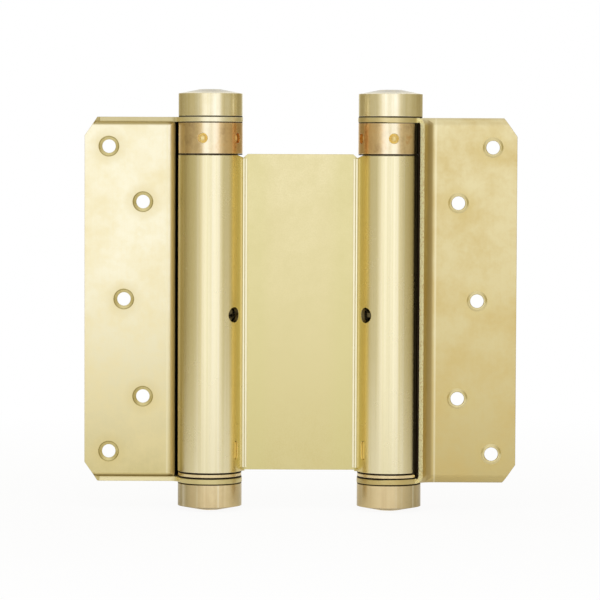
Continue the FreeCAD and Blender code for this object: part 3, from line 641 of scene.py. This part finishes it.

# %% [markdown]
# ## Wraps
# The sheet of a leaf folds round the barrel. The fold gets a painted gold reflection, a painted
# pale highlight line runs beside it, and the hollow behind it gets brown painted shade. The
# inside of the wrap is never polished and is painted black, as shade and old oil, and its sheared
# edge is pale, rough and pitted. All of these run from top to foot, so distances from the barrel
# axis are enough to find them.

# %% Tones of the wraps
BELOW_EARS = (60.5, 60.3)
FOLD_BAND = (12.5, 13.4, 0.6)
OFF_THE_FACES = (3.2, 3.0)
# Where a painted pale highlight line runs beside each fold.
FOLD_HIGHLIGHT_AT = {"left": 14.7, "right": 15.3}
FOLD_HIGHLIGHT_WIDTH, FOLD_HIGHLIGHT_SOFT = 0.15, 0.4
HOLLOW_SHADE_BAND = (12.9, 14.0, 0.9)
ON_MOUNTING_FACE = (3.3, 3.5)
INSIDE_WRAP = (12.55, 12.35)
SHEARED_AT = math.radians(31)
ON_SHEARED_EDGE = (0.12, 0.05)
PAST_BARREL_SIDE = (8.5, 9.0)
OUT_OF_PLATE = (5.0, 5.5)
PITS_SHOW = (0.50, 0.66)

# A painted gold reflection on the fold.
FOLD_REFLECTION_COAT = ((1.0, 0.80, 0.34), 1.0)
# A painted pale highlight line beside the fold.
FOLD_HIGHLIGHT_COAT = ((0.98, 0.90, 0.62), 0.55)
# Painted brown shade in the hollow behind the fold.
HOLLOW_SHADE_COAT = ((0.42, 0.31, 0.13), 0.75)
# The inside of the wrap painted black, as shade and old oil.
WRAP_SHADE_AND_OIL_COAT = ((0.015, 0.009, 0.003), 1.0)
SHEARED_TONE = (1.0, 0.96, 0.68)
PIT_TONE = (0.90, 0.80, 0.48)


def tone_wrap(paint, spot, side):
    """Paints a leaf's fold and wrap, and gives masks of the fold and the sheared edge.

    The flange bends towards the leaf's mounting face, which is at the front of the right leaf
    and at the back of the left one.
    """
    to_mounting = paint.sum("MULTIPLY", spot.y, -float(SIDES[side]))
    below_ears = paint.between(spot.height, *BELOW_EARS)
    fold = paint.overlap(paint.within(spot.radius, *FOLD_BAND), below_ears,
                         paint.between(spot.depth, *OFF_THE_FACES))
    # Painted gold reflection on the fold.
    paint.coat(FOLD_REFLECTION_COAT, fold)
    line = FOLD_HIGHLIGHT_AT[side]
    # Painted highlight line beside the fold.
    paint.coat(FOLD_HIGHLIGHT_COAT, paint.within(spot.outwards, line, line + FOLD_HIGHLIGHT_WIDTH, FOLD_HIGHLIGHT_SOFT))
    # Painted shade in the hollow.
    paint.coat(HOLLOW_SHADE_COAT, paint.within(spot.outwards, *HOLLOW_SHADE_BAND),
               paint.between(to_mounting, *ON_MOUNTING_FACE))
    # Painted shade and old oil inside the wrap.
    paint.coat(WRAP_SHADE_AND_OIL_COAT, paint.between(spot.radius, *INSIDE_WRAP), below_ears)

    from_edge = paint.sum("SUBTRACT",
                          paint.sum("MULTIPLY", spot.outwards, math.sin(SHEARED_AT)),
                          paint.sum("MULTIPLY", to_mounting, math.cos(SHEARED_AT)))
    sheared = paint.overlap(paint.between(from_edge, *ON_SHEARED_EDGE),
                            paint.between(spot.outwards, *PAST_BARREL_SIDE),
                            paint.between(to_mounting, *OUT_OF_PLATE))
    pits = paint.between(noise(paint, spot, "pits"), *PITS_SHOW)
    paint.coat((paint.blend(pits, SHEARED_TONE, PIT_TONE), 1.0), sheared)
    return fold, sheared


print("ridges at", FOLD_HIGHLIGHT_AT, "mm from the axes")

# %% [markdown]
# ## Lips
# The plate's upper and lower ends are bent into lips. Their sheared edges are olive at the top
# and pale at the foot. Painted shade lies on the plate beside them, with a dark painted shade
# line by the lower one.

# %% Tones of the lips
LIP_EDGE = (0.4, 0.3)
LIP_HEIGHT = (60.4, 60.6)
LIP_TURNS = (-1.0, 1.0)
BESIDE_LIP_BAND = (59.9, 60.5, 0.6)
FOOT_LINE_BAND = (-60.45, -60.2, 0.15)
ON_PLATE = (12.6, 13.0)
BESIDE_LIP_DEPTH = (2.2, 2.0)
FOOT_LINE_DEPTH = (2.4, 2.2)

FOOT_LIP_TONE = (0.95, 0.87, 0.56)
TOP_LIP_TONE = (0.66, 0.58, 0.33)
LIP_COVER = 0.9
# Painted shade beside the lips.
BESIDE_LIP_SHADE_COAT = ((0.50, 0.40, 0.16), 0.85)
# A dark painted shade line by the lower lip.
FOOT_SHADE_LINE_COAT = ((0.16, 0.11, 0.04), 0.7)


def tone_lips(paint, spot):
    """Paints a leaf's lips and gives the mask of their edges."""
    lip = paint.overlap(paint.between(spot.depth, *LIP_EDGE),
                        paint.between(spot.height, *LIP_HEIGHT))
    lip_tone = paint.blend(paint.between(spot.z, *LIP_TURNS), FOOT_LIP_TONE, TOP_LIP_TONE)
    paint.coat((lip_tone, LIP_COVER), lip)
    on_plate = paint.between(spot.outwards, *ON_PLATE)
    # Painted shade beside the lips.
    paint.coat(BESIDE_LIP_SHADE_COAT, on_plate, paint.within(spot.height, *BESIDE_LIP_BAND),
               paint.between(spot.depth, *BESIDE_LIP_DEPTH))
    # A dark painted shade line by the lower lip.
    paint.coat(FOOT_SHADE_LINE_COAT, on_plate, paint.within(spot.z, *FOOT_LINE_BAND),
               paint.between(spot.depth, *FOOT_LINE_DEPTH))
    return lip


print("lips at", LIP_HEIGHT[0], "mm above and below the middle")

# %% [markdown]
# ## Leaves
# Each leaf is pressed from one sheet, and the right one is the left one turned round. The left
# leaf is pale and the right one is painted deeper as shade, and both are painted darker towards
# the foot as shade. One material for both would be simpler, but each of them shows its other
# face.

# %% Leaf plating
SHEARED_DULL = 4.0
FOLD_DULL = 2.5
DULL = 0.12
LEAF_WEAR = {"brushed": 0.8, "crevice": 0.55, "worn": 0.55, "edge_tone": (0.46, 0.36, 0.14)}


def leaf_places(side):
    def places(paint, spot):
        sink = tone_screw_holes(paint, spot)
        fold, sheared = tone_wrap(paint, spot, side)
        lip = tone_lips(paint, spot)
        paint.roughen(DULL, paint.either(sink, lip, paint.overlap(sheared, SHEARED_DULL),
                                         paint.overlap(fold, FOLD_DULL)))

    return places


# The right leaf's deeper tone is painted shade, and both falls paint shade towards the foot.
left_sheet = plated("left_leaf_plating", (0.99, 0.94, 0.72), (0.90, 0.78, 0.43), 0.25,
                    fall=(0.72, 0.63, 0.32), fall_from=15.0, cloud=0.55,
                    places=leaf_places("left"), **LEAF_WEAR)
right_sheet = plated("right_leaf_plating", (0.84, 0.75, 0.45), (0.68, 0.53, 0.22), 0.27,
                     fall=(0.65, 0.54, 0.25), cloud=0.85,
                     places=leaf_places("right"), **LEAF_WEAR)
dress("left_leaf", left_sheet)
dress("right_leaf", right_sheet)
print("leaves dressed:", left_sheet.name, right_sheet.name)

# %% [markdown]
# ## The black line by a flange
# Between a leaf's flange and the barrel runs a deep black gap, painted here as shade. A strip of
# black could be laid there, but it would have to ride with the leaf and cut into the web when the
# hinge turns. The Ambient Occlusion node sees how near the flange stands over each point of a
# round piece, so the painted shade stays under the flange at every turn.

# %% Flange line
BARREL_EDGE = 11.08
BARREL_EDGE_SOFT = 0.05
FLANGE_NEAR = 12.0
FLANGE_RAYS = 48
UNDER_FLANGE = (0.96, 0.93)
FLANGE_REACH = (6.0, 7.0)
# Of x times y, which is below 0 at both flanges.
FLANGE_CORNERS = (-40.0, -80.0)
# The black of the painted shade by a flange.
FLANGE_SHADE_COAT = ((0.012, 0.008, 0.004), 1.0)


def on_barrel(paint, spot):
    return paint.between(spot.radius, BARREL_EDGE + BARREL_EDGE_SOFT, BARREL_EDGE)


def flange_shade_line(paint, spot):
    """Black where the flange of a leaf stands close over a round piece."""
    # Painted shade where the flange stands close.
    under = paint.between(paint.open_sky(FLANGE_NEAR, FLANGE_RAYS), *UNDER_FLANGE)
    flange_side = paint.between(paint.sum("MULTIPLY", spot.x, spot.y), *FLANGE_CORNERS)
    paint.coat(FLANGE_SHADE_COAT, under, flange_side, paint.between(spot.outwards, *FLANGE_REACH),
               on_barrel(paint, spot))


print("barrels end at a radius of", BARREL_EDGE, "mm")

# %% [markdown]
# ## Web and barrels
# One sheet makes both, but they don't look alike. The web keeps the mill's fine grain and turns
# greenish, and the barrels were polished after rolling. Their bend near the web gets a painted
# deep gold reflection of the web, their outer sides and the right barrel's far side get painted
# shade, and a painted shade line runs round each barrel's top. As they are one piece of metal,
# one material paints both, and the distance from the barrel axis tells them apart.

# %% Web plating
BARREL_COAT = ((0.95, 0.88, 0.62), 1.0)
# Painted shade coats, each with the distances outwards between which it grows.
BARREL_SHADED_SIDES = [(((0.70, 0.61, 0.36), 0.85), (4.0, 8.5)),
                (((0.46, 0.37, 0.16), 0.75), (7.6, 9.6))]
# Painted shade on the right barrel's far side.
FAR_LIMB_SHADE_COAT = ((0.46, 0.37, 0.16), 0.35)
FAR_LIMB_FROM = (AXIS / MM + 4.0, AXIS / MM + 6.5)
# A painted gold reflection of the web on the barrels' bend.
BEND_REFLECTION_COAT = ((0.88, 0.70, 0.26), 0.8)
BEND_BAND = (-10.8, -7.6, 0.9)
AT_FRONT = (-0.5, -1.5)
GREEN_COAT = ((0.76, 0.71, 0.34), 0.35)
GREEN_BAND = (-17.0, -13.0, 5.0)
# A painted shade line round the barrel's top.
BARREL_RIM_SHADE_COAT = ((0.10, 0.06, 0.02), 0.9)
BARREL_RIM = (49.05, 49.3)
POLISH = 0.14


def coat_sides(paint, spot, sides, *masks):
    for layer, limits in sides:
        paint.coat(layer, *masks, paint.between(spot.outwards, *limits))


def web_places(paint, spot):
    barrel = on_barrel(paint, spot)
    paint.coat(BARREL_COAT, barrel)
    # Painted shade on the barrels' outer sides and the right barrel's far side.
    coat_sides(paint, spot, BARREL_SHADED_SIDES, barrel)
    paint.coat(FAR_LIMB_SHADE_COAT, barrel, paint.between(spot.x, *FAR_LIMB_FROM))
    # Painted gold reflection of the web.
    paint.coat(BEND_REFLECTION_COAT, barrel, paint.within(spot.outwards, *BEND_BAND),
               paint.between(spot.y, *AT_FRONT))
    paint.coat(GREEN_COAT, paint.within(spot.outwards, *GREEN_BAND))
    # Painted shade line at the barrel's top.
    paint.coat(BARREL_RIM_SHADE_COAT, barrel, paint.between(spot.z, *BARREL_RIM))
    paint.roughen(-POLISH, barrel)


web_sheet = plated("web_plating", (0.94, 0.86, 0.56), (0.80, 0.72, 0.39), 0.33,
                   fall=(0.74, 0.65, 0.31), grain=0.45, speckle=0.5, ripple=0.05,
                   brushed=0.7, cloud=0.6, mottle=0.45, streaks=0.45, smooth=on_barrel,
                   places=web_places, over=flange_shade_line)
dress("web_barrels", web_sheet)
print("web dressed:", web_sheet.name)

# %% [markdown]
# ## Caps
# The caps are turned from bar. They are bright at the side, with a crown painted greyer as shade.
# The lower ones are warmer and painted deeper as shade, darker still towards the leaf and the
# web, with painted light on their undersides. A tint by height and side does that with two
# materials in place of four.

# %% Cap plating
CROWN_HEIGHT = 70.3
ON_CROWN = (CROWN_HEIGHT, CROWN_HEIGHT + 0.6)
# Painted shade on the crown.
CROWN_SHADE_COAT = ((0.43, 0.41, 0.35), 0.8)
# Painted shade on the sides of the lower caps.
FOOT_CAP_SHADED_SIDES = [(((0.42, 0.34, 0.17), 0.95), (1.0, 8.5)),
                  (((0.62, 0.50, 0.26), 0.9), (-5.0, -10.0))]
UNDERSIDE = (-CROWN_HEIGHT - 0.2, -CROWN_HEIGHT - 0.5)
# Painted light on the undersides of the lower caps.
UNDERSIDE_LIGHT_COAT = ((1.0, 0.93, 0.70), 1.0)
UNDERSIDE_DULL = 0.5


def top_cap_places(paint, spot):
    # Painted shade on the crown.
    paint.coat(CROWN_SHADE_COAT, paint.between(spot.height, *ON_CROWN))


def foot_cap_places(paint, spot):
    # Painted shade on the sides.
    coat_sides(paint, spot, FOOT_CAP_SHADED_SIDES)
    under = paint.between(spot.z, *UNDERSIDE)
    # Painted light on the underside.
    paint.coat(UNDERSIDE_LIGHT_COAT, under)
    paint.roughen(UNDERSIDE_DULL, under)


top_brass = plated("top_cap_plating", (1.0, 0.94, 0.74), (0.84, 0.74, 0.44), 0.15,
                   brushed=1.2, streaks=0.5, places=top_cap_places)
# The lower caps' deeper tone is painted shade.
foot_brass = plated("bottom_cap_plating", (0.88, 0.74, 0.46), (0.70, 0.54, 0.30), 0.17,
                    brushed=1.2, streaks=0.5, places=foot_cap_places)
for side in SIDES:
    dress(side + "_top_cap", top_brass)
    dress(side + "_bottom_cap", foot_brass)
print("caps dressed:", 2 * len(SIDES))

# %% [markdown]
# ## Collars and washers
# The collars were heated and dipped on their own: brown and peach patches with orange between
# them. A painted highlight runs down the middle, with painted shade on the leaf side and a
# painted orange reflection of the web on the web side. A noise that picks its colours from a
# short row of tones gives patches with borders, where a plain mix of two tones would only look
# dirty. The washers are the same metal, and only their rims show.

# %% Collar plating
BLOTCHES_SHOW = (0.3, 0.7)
BLOTCH_TONES = [(0.0, (0.60, 0.46, 0.30)), (0.4, (0.82, 0.66, 0.43)),
                (0.65, (0.92, 0.74, 0.48)), (1.0, (0.80, 0.52, 0.25))]
BLOTCH_COVER = 0.8
MIDDLE_BAND = (-1.5, 1.5, 2.0)
# A painted highlight down the middle.
MIDDLE_HIGHLIGHT_COAT = ((1.0, 0.94, 0.72), 0.7)
# A painted orange reflection on the web side and painted shade on the leaf side.
COLLAR_SHADE_AND_REFLECTION_SIDES = [(((0.80, 0.46, 0.17), 0.45), (-3.0, -8.0)),
                (((0.50, 0.36, 0.20), 0.6), (4.5, 9.5))]


def collar_places(paint, spot):
    spread = paint.between(noise(paint, spot, "blotches"), *BLOTCHES_SHOW)
    paint.colour = paint.blend(BLOTCH_COVER, paint.colour, paint.ramp(spread, BLOTCH_TONES))
    # Painted highlight down the middle.
    paint.coat(MIDDLE_HIGHLIGHT_COAT, paint.within(spot.outwards, *MIDDLE_BAND))
    # Painted reflection and shade on the sides.
    coat_sides(paint, spot, COLLAR_SHADE_AND_REFLECTION_SIDES)


collar_brass = plated("collar_plating", (0.88, 0.70, 0.44), (0.66, 0.44, 0.24), 0.13,
                      speckle=0.8, brushed=0.4, mottle=0.6, places=collar_places,
                      over=flange_shade_line)
washer_brass = plated("washer_plating", (0.90, 0.76, 0.46), (0.84, 0.60, 0.38), 0.2)
for side in SIDES:
    dress(side + "_tension_collar", collar_brass)
    dress(side + "_thrust_washer", washer_brass)
print("collars and washers dressed:", 2 * len(SIDES))

# %% [markdown]
# ## Hidden metal
# Pintles, springs and their anchors hardly show, but they are there when the hinge is taken
# apart or looked into. They use the same plating with other tones: deep gold where brass was
# never touched, a deeper amber as painted shade in the side tommy holes, plain steel, and oiled
# steel that is also painted near black as shade inside the barrels.

# %% Hidden metal
gold = plated("deep_gold_plating", (1.0, 0.84, 0.42), (0.92, 0.66, 0.24), 0.26, crevice=0.0)
# Amber: painted shade for the side tommy holes.
shaded_amber = plated("amber_plating", (0.80, 0.48, 0.15), (0.60, 0.32, 0.09), 0.3, crevice=0.3)
steel = plated("bright_steel", (0.55, 0.55, 0.56), (0.40, 0.40, 0.40), 0.25, worn=0.0)
# Oiled steel, also painted near black as shade inside the barrels.
oiled_and_shaded = plated("oiled_steel", (0.16, 0.15, 0.14), (0.08, 0.07, 0.06), 0.3, worn=0.0)
for side in SIDES:
    dress(side + "_pintle", steel)
    dress(side + "_spring_anchor", gold)
    dress(side + "_spring", oiled_and_shaded)
print("hidden pieces dressed:", 3 * len(SIDES))

# %% [markdown]
# ## New pieces
# Every added form is a mesh of its own that rides on one body of the hinge, so that it moves
# with it. Each is a closed skin: points that fall together become one, and all faces look
# outwards. Most are round, and made as on a lathe: a profile of (radius, height) points in
# millimetres is turned about a line. The straight ones are an outline drawn out upwards.

# %% Making a piece
SHARP = math.radians(35)
TOGETHER = 0.001


def make_piece(name, points, faces, material, body):
    mesh = bpy.data.meshes.new(name)
    mesh.from_pydata(points, [], faces)
    form = bmesh.new()
    form.from_mesh(mesh)
    bmesh.ops.remove_doubles(form, verts=form.verts, dist=TOGETHER * MM)
    bmesh.ops.recalc_face_normals(form, faces=form.faces)
    form.to_mesh(mesh)
    form.free()
    mesh.materials.append(material)
    for polygon in mesh.polygons:
        polygon.use_smooth = True
    mesh.set_sharp_from_angle(angle=SHARP)
    piece = add_object(name, mesh)
    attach(piece, body)
    return piece


def turn_profile(profile, start, along, steps=48, closed=True):
    """Points and faces of a profile turned about a line. An open one ends on that line."""
    along = Vector(along).normalized()
    aside = along.orthogonal().normalized()
    other = along.cross(aside)
    points = []
    for step in range(steps):
        angle = 2 * math.pi * step / steps
        out = aside * math.cos(angle) + other * math.sin(angle)
        for radius, height in profile:
            points.append(Vector(start) + out * (radius * MM) + along * (height * MM))
    faces = []
    count = len(profile)
    for step in range(steps):
        here, there = step * count, (step + 1) % steps * count
        for row in range(count if closed else count - 1):
            after = (row + 1) % count
            faces.append((here + row, there + row, there + after, here + after))
    return points, faces


def draw_out(outline, low, high):
    """Points and faces of an outline of (x, y) points in metres, drawn out from low to high."""
    points = [(x, y, height) for height in (low, high) for x, y in outline]
    count = len(outline)
    faces = [tuple(range(count)), tuple(range(count, 2 * count))]
    for row in range(count):
        after = (row + 1) % count
        faces.append((row, after, count + after, count + row))
    return points, faces


print("lathe ready")

# %% [markdown]
# ## Grease and shade in the joints
# Between cap, ear, collar, barrel and washer stay slits of about half a millimetre. On the real
# hinge they are black, from shade and from grease and dust behind the edge. Light that falls into
# an empty slit would come out again as a gold glow, so a dark ring of grease and painted shade
# stands in each one, a little inside the rims. The ring under a collar turns with the barrel, and
# the others with the leaf.

# %% Grease and shade rings
GREASE_AND_SHADE_SET_IN = 0.15
GREASE_AND_SHADE_CLEAR = 0.05
GREASE_AND_SHADE_INSIDE = 4.3
SHEET = 1.6
WEB_RISE = 0.4
COLLAR_GAP = 0.5
SPIGOT_RADIUS = 9.45

# Grease, also painted shade in the slits and by the flanges.
grease_and_shade = plated("grease_and_shade", (0.03, 0.02, 0.012), (0.015, 0.01, 0.008), 0.5, worn=0.0)
barrel_top = top("web_barrels") / MM - WEB_RISE
collar_foot = barrel_top + COLLAR_GAP


def make_ring(side, name, low, high, inside=GREASE_AND_SHADE_INSIDE, body=None):
    outside = barrel_radius / MM - GREASE_AND_SHADE_SET_IN
    base, crest = low + GREASE_AND_SHADE_CLEAR, high - GREASE_AND_SHADE_CLEAR
    profile = [(inside, base), (outside, base), (outside, crest), (inside, crest)]
    points, faces = turn_profile(profile, (axis_x[side], 0, 0), (0, 0, 1))
    make_piece(f"{side}_{name}_grease", points, faces, grease_and_shade, body or LEAF_BODY[side])


print("barrel top at", round(barrel_top, 2), "mm, collars from", round(collar_foot, 2), "mm")

# %% [markdown]
# At the sheared edge of each flange a small black wedge, grease and painted shade in one, lies
# pushed along the barrel. It ends before it would reach the web at the end of the hinge's travel.
# Its outline is written as (degrees from the leaf's plane, radius), thick under the flange and
# thin at its tip.

# %% Grease and shade at the flange
# The wedge is grease and painted shade in one.
WEDGE = [(27.0, 11.55), (30.5, 11.55), (32.0, 11.4), (33.4, 11.12)]
WEDGE_FLOOR = 11.04
WEDGE_HEIGHT = 60.45


def make_wedge(side):
    sign = SIDES[side]
    outline = []
    for degrees, radius in WEDGE + [(degrees, WEDGE_FLOOR) for degrees, _ in reversed(WEDGE)]:
        turn = math.radians(degrees)
        outline.append((axis_x[side] + sign * radius * MM * math.cos(turn),
                        -sign * radius * MM * math.sin(turn)))
    points, faces = draw_out(outline, -WEDGE_HEIGHT * MM, WEDGE_HEIGHT * MM)
    make_piece(side + "_flange_grease", points, faces, grease_and_shade, LEAF_BODY[side])


for side in SIDES:
    leaf_top, leaf_foot = top(side + "_leaf") / MM, bottom(side + "_leaf") / MM
    washer = side + "_thrust_washer"
    make_wedge(side)
    make_ring(side, "top_cap", leaf_top, bottom(side + "_top_cap") / MM)
    make_ring(side, "collar", top(side + "_tension_collar") / MM, leaf_top - SHEET)
    make_ring(side, "spigot", barrel_top, collar_foot, SPIGOT_RADIUS, BARREL_BODY)
    make_ring(side, "barrel", top(washer) / MM, bottom("web_barrels") / MM)
    make_ring(side, "washer", leaf_foot + SHEET, bottom(washer) / MM)
    make_ring(side, "bottom_cap", top(side + "_bottom_cap") / MM, leaf_foot)

# %% [markdown]
# ## Seams of the web
# Where the sheet leaves a barrel the press has left two thin ridges, which shine as pale lines
# down the whole web. A pale stripe of colour would be flat from the side, so they are low beads
# with a flat top, laid on the sheet. Its surface curves here, and a ray from the front finds how
# far back each one has to lie.

# %% Seam beads
# (inwards from the barrel axis, half the width) in millimetres.
BEADS = [(11.35, 0.42), (12.25, 0.40)]
# (aside in half widths, back in millimetres).
BEAD_OUTLINE = [(1.0, 0.1), (0.72, -0.2), (-0.72, -0.2), (-1.0, 0.1)]
BEAD_ENDS = (-57.2, 48.2)
SEEN_FROM = -0.05

bead_brass = plated("bead_plating", (1.0, 0.95, 0.72), (0.94, 0.87, 0.62), 0.22, edge=0.04,
                    crevice=0.0)


def make_bead(side, number, inwards, half_width):
    x = axis_x[side] - SIDES[side] * inwards * MM
    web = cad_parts["web_barrels"]
    found, place, _, _ = web.ray_cast(Vector((x, SEEN_FROM, 0)), Vector((0, 1, 0)))
    assert found, "no web behind the bead"
    outline = [(x + half_width * MM * aside, place.y + back * MM)
               for aside, back in BEAD_OUTLINE]
    points, faces = draw_out(outline, *(end * MM for end in BEAD_ENDS))
    make_piece(f"{side}_seam_{number}", points, faces, bead_brass, BARREL_BODY)
    return place.y


for side in SIDES:
    depths = [make_bead(side, number + 1, *bead) for number, bead in enumerate(BEADS)]
    print(side, "seams at y", [round(depth / MM, 2) for depth in depths], "mm")

# %% [markdown]
# ## Springs
# Through the hole in each barrel's side the dark turns of a torsion spring show. The wire is
# square with rounded corners and wound close, with a straight end into the anchor below and
# another into the collar above. The plain model holds a sleeve in its place, which gives the
# sizes. A sleeve with grooves would look right from outside, but the real thing is one screw of
# wire, so a small outline is swept along a helix. The upper straight end is a piece of its own,
# because it turns with the collar.

# %% Measure a spring
WIRE = 3.0
WIRE_CORNER = 0.7
WIRE_END_FACE = 0.1
WIRE_END_LENGTH = 1.5


def measure_spring(side):
    """Heights and radius of the sleeve in millimetres, and the angle of its straight ends."""
    node = side + "_spring"
    low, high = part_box(node)
    corners = [vertex.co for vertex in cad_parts[node].data.vertices]
    end = [point for point in corners if point.z > high.z - WIRE_END_FACE * MM]
    end_x = sum(point.x for point in end) / len(end) - axis_x[side]
    end_y = sum(point.y for point in end) / len(end)
    reach = WIRE_END_LENGTH * MM
    return SimpleNamespace(
        low=low.z / MM, high=high.z / MM, start=math.atan2(end_y, end_x),
        outside=max(math.hypot(point.x - axis_x[side], point.y) for point in corners) / MM,
        coil_low=min(point.z for point in corners if point.z > low.z + reach) / MM,
        coil_high=max(point.z for point in corners if point.z < high.z - reach) / MM)


spring_sizes = {side: measure_spring(side) for side in SIDES}
for side, size in spring_sizes.items():
    print(side, "spring:", {key: round(value, 2) for key, value in vars(size).items()})

# %% Torsion springs
TURN_STEPS = 32
TURN_GAP = 0.03
SLEEVE_GAP = 0.02


def wire_outline(rise):
    """The cut wire as (out, up) points, a hair thinner than its share of the sleeve."""
    thick = min(WIRE / 2, rise / 2) - TURN_GAP
    wide = WIRE / 2 - SLEEVE_GAP
    cut = WIRE_CORNER
    return [(wide, cut - thick), (wide, thick - cut), (wide - cut, thick), (cut - wide, thick),
            (-wide, thick - cut), (-wide, cut - thick), (cut - wide, -thick),
            (wide - cut, -thick)]


def wind(side, size, path, rise, turns, outline):
    """Points and faces of the close turns, swept along a helix."""
    points, faces = [], []
    steps = turns * TURN_STEPS
    for step in range(steps + 1):
        angle = size.start + 2 * math.pi * step / TURN_STEPS
        height = size.coil_low + WIRE / 2 + rise * step / TURN_STEPS
        for out, up in outline:
            points.append((axis_x[side] + (path + out) * MM * math.cos(angle),
                           (path + out) * MM * math.sin(angle), (height + up) * MM))
    count = len(outline)
    for step in range(steps):
        here, there = step * count, (step + 1) * count
        for row in range(count):
            after = (row + 1) % count
            faces.append((here + row, here + after, there + after, there + row))
    faces.append(tuple(range(count)))
    faces.append(tuple(range(steps * count, (steps + 1) * count)))
    return points, faces


def straight_end(side, size, path, outline, low, high):
    """Points and faces of a straight end of wire."""
    corners = []
    for out, along in outline:
        x = (path + out) * math.cos(size.start) - along * math.sin(size.start)
        y = (path + out) * math.sin(size.start) + along * math.cos(size.start)
        corners.append((axis_x[side] + x * MM, y * MM))
    return draw_out(corners, low * MM, high * MM)


def make_spring(side, size):
    path = size.outside - WIRE / 2
    length = size.coil_high - size.coil_low
    turns = round(length / WIRE - 1)
    rise = (length - WIRE) / turns
    outline = wire_outline(rise)
    points, faces = wind(side, size, path, rise, turns, outline)
    more, sides = straight_end(side, size, path, outline, size.low, size.coil_low + WIRE / 2)
    faces += [tuple(len(points) + corner for corner in side_face) for side_face in sides]
    coil = make_piece(side + "_coil", points + more, faces, oiled_and_shaded, BARREL_BODY)
    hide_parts(side + "_spring")
    end_points, end_faces = straight_end(side, size, path, outline,
                                         size.coil_high - WIRE / 2, size.high)
    make_piece(side + "_coil_end", end_points, end_faces, oiled_and_shaded, side + "_collar")
    print(side, "coil:", turns, "turns of", round(rise, 2), "mm")


for side, size in spring_sizes.items():
    make_spring(side, size)

# %% [markdown]
# ## Rims of the screw holes
# The countersinks are pressed, not cut. The punch pushes metal out on the other face of the
# leaf, which stands up round the hole as a small flared rim and catches the light. Bump in the
# material couldn't cast a shadow or break the outline, so each rim is a turned ring.

# %% Flared rims
RIM = [(2.32, -0.30), (2.36, 0.28), (2.50, 0.48), (2.72, 0.54), (2.98, 0.44), (3.30, 0.16),
       (3.45, 0.04), (3.60, -0.05)]
RIM_STEPS = 40

rim_brass = plated("rim_plating", (0.82, 0.72, 0.40), (0.74, 0.61, 0.30), 0.22, edge=0.1,
                   crevice=0.0, mottle=0.0)


def make_rims(side):
    sign = SIDES[side]
    face = -sign * PLATE_FACE * MM
    for out, up in SCREWS:
        for height in sorted({up, -up}):
            start = (sign * AXIS + sign * out * MM, face, height * MM)
            points, faces = turn_profile(RIM, start, (0, -sign, 0), RIM_STEPS)
            name = f"{side}_rim_{round(out)}_{round(height)}"
            make_piece(name, points, faces, rim_brass, LEAF_BODY[side])


for side in SIDES:
    make_rims(side)

# %% [markdown]
# ## Cups in the tommy holes
# A bar is put into the holes of a collar to wind the spring. A drill leaves a hollow at the
# bottom of each, polished by the bar, and it mirrors the front as one bright dot. The flat
# bottom of the plain hole can't do that, so a small cup is turned for each one: gold in the
# hole nearest the front, and amber as painted shade in the others.

# %% Cups
TOMMY_HOLES = 5
TOMMY_TURN = {"left": -13.0, "right": 5.0}
CUP = [(0.0, -2.40), (0.5, -2.33), (1.0, -2.07), (1.4, -1.73), (1.74, -1.30), (1.74, -2.45),
       (0.0, -2.45)]
CUP_STEPS = 24


def make_cups(side):
    level = (collar_foot * MM + top(side + "_tension_collar")) / 2
    for hole in range(TOMMY_HOLES):
        heading = math.radians(TOMMY_TURN[side] - 90 + 360 * hole / TOMMY_HOLES)
        out = Vector((math.cos(heading), math.sin(heading), 0))
        start = Vector((axis_x[side], 0, level)) + out * barrel_radius
        points, faces = turn_profile(CUP, start, out, CUP_STEPS, closed=False)
        # Amber in the side holes is painted shade.
        make_piece(f"{side}_cup_{hole + 1}", points, faces, shaded_amber if hole else gold,
                   side + "_collar")


for side in SIDES:
    make_cups(side)
print("cups:", TOMMY_HOLES * len(SIDES))

# %% [markdown]
# ## Finish
# The picture keeps the colours as they are written.

# %% Finish
bpy.context.scene.view_settings.view_transform = "Standard"
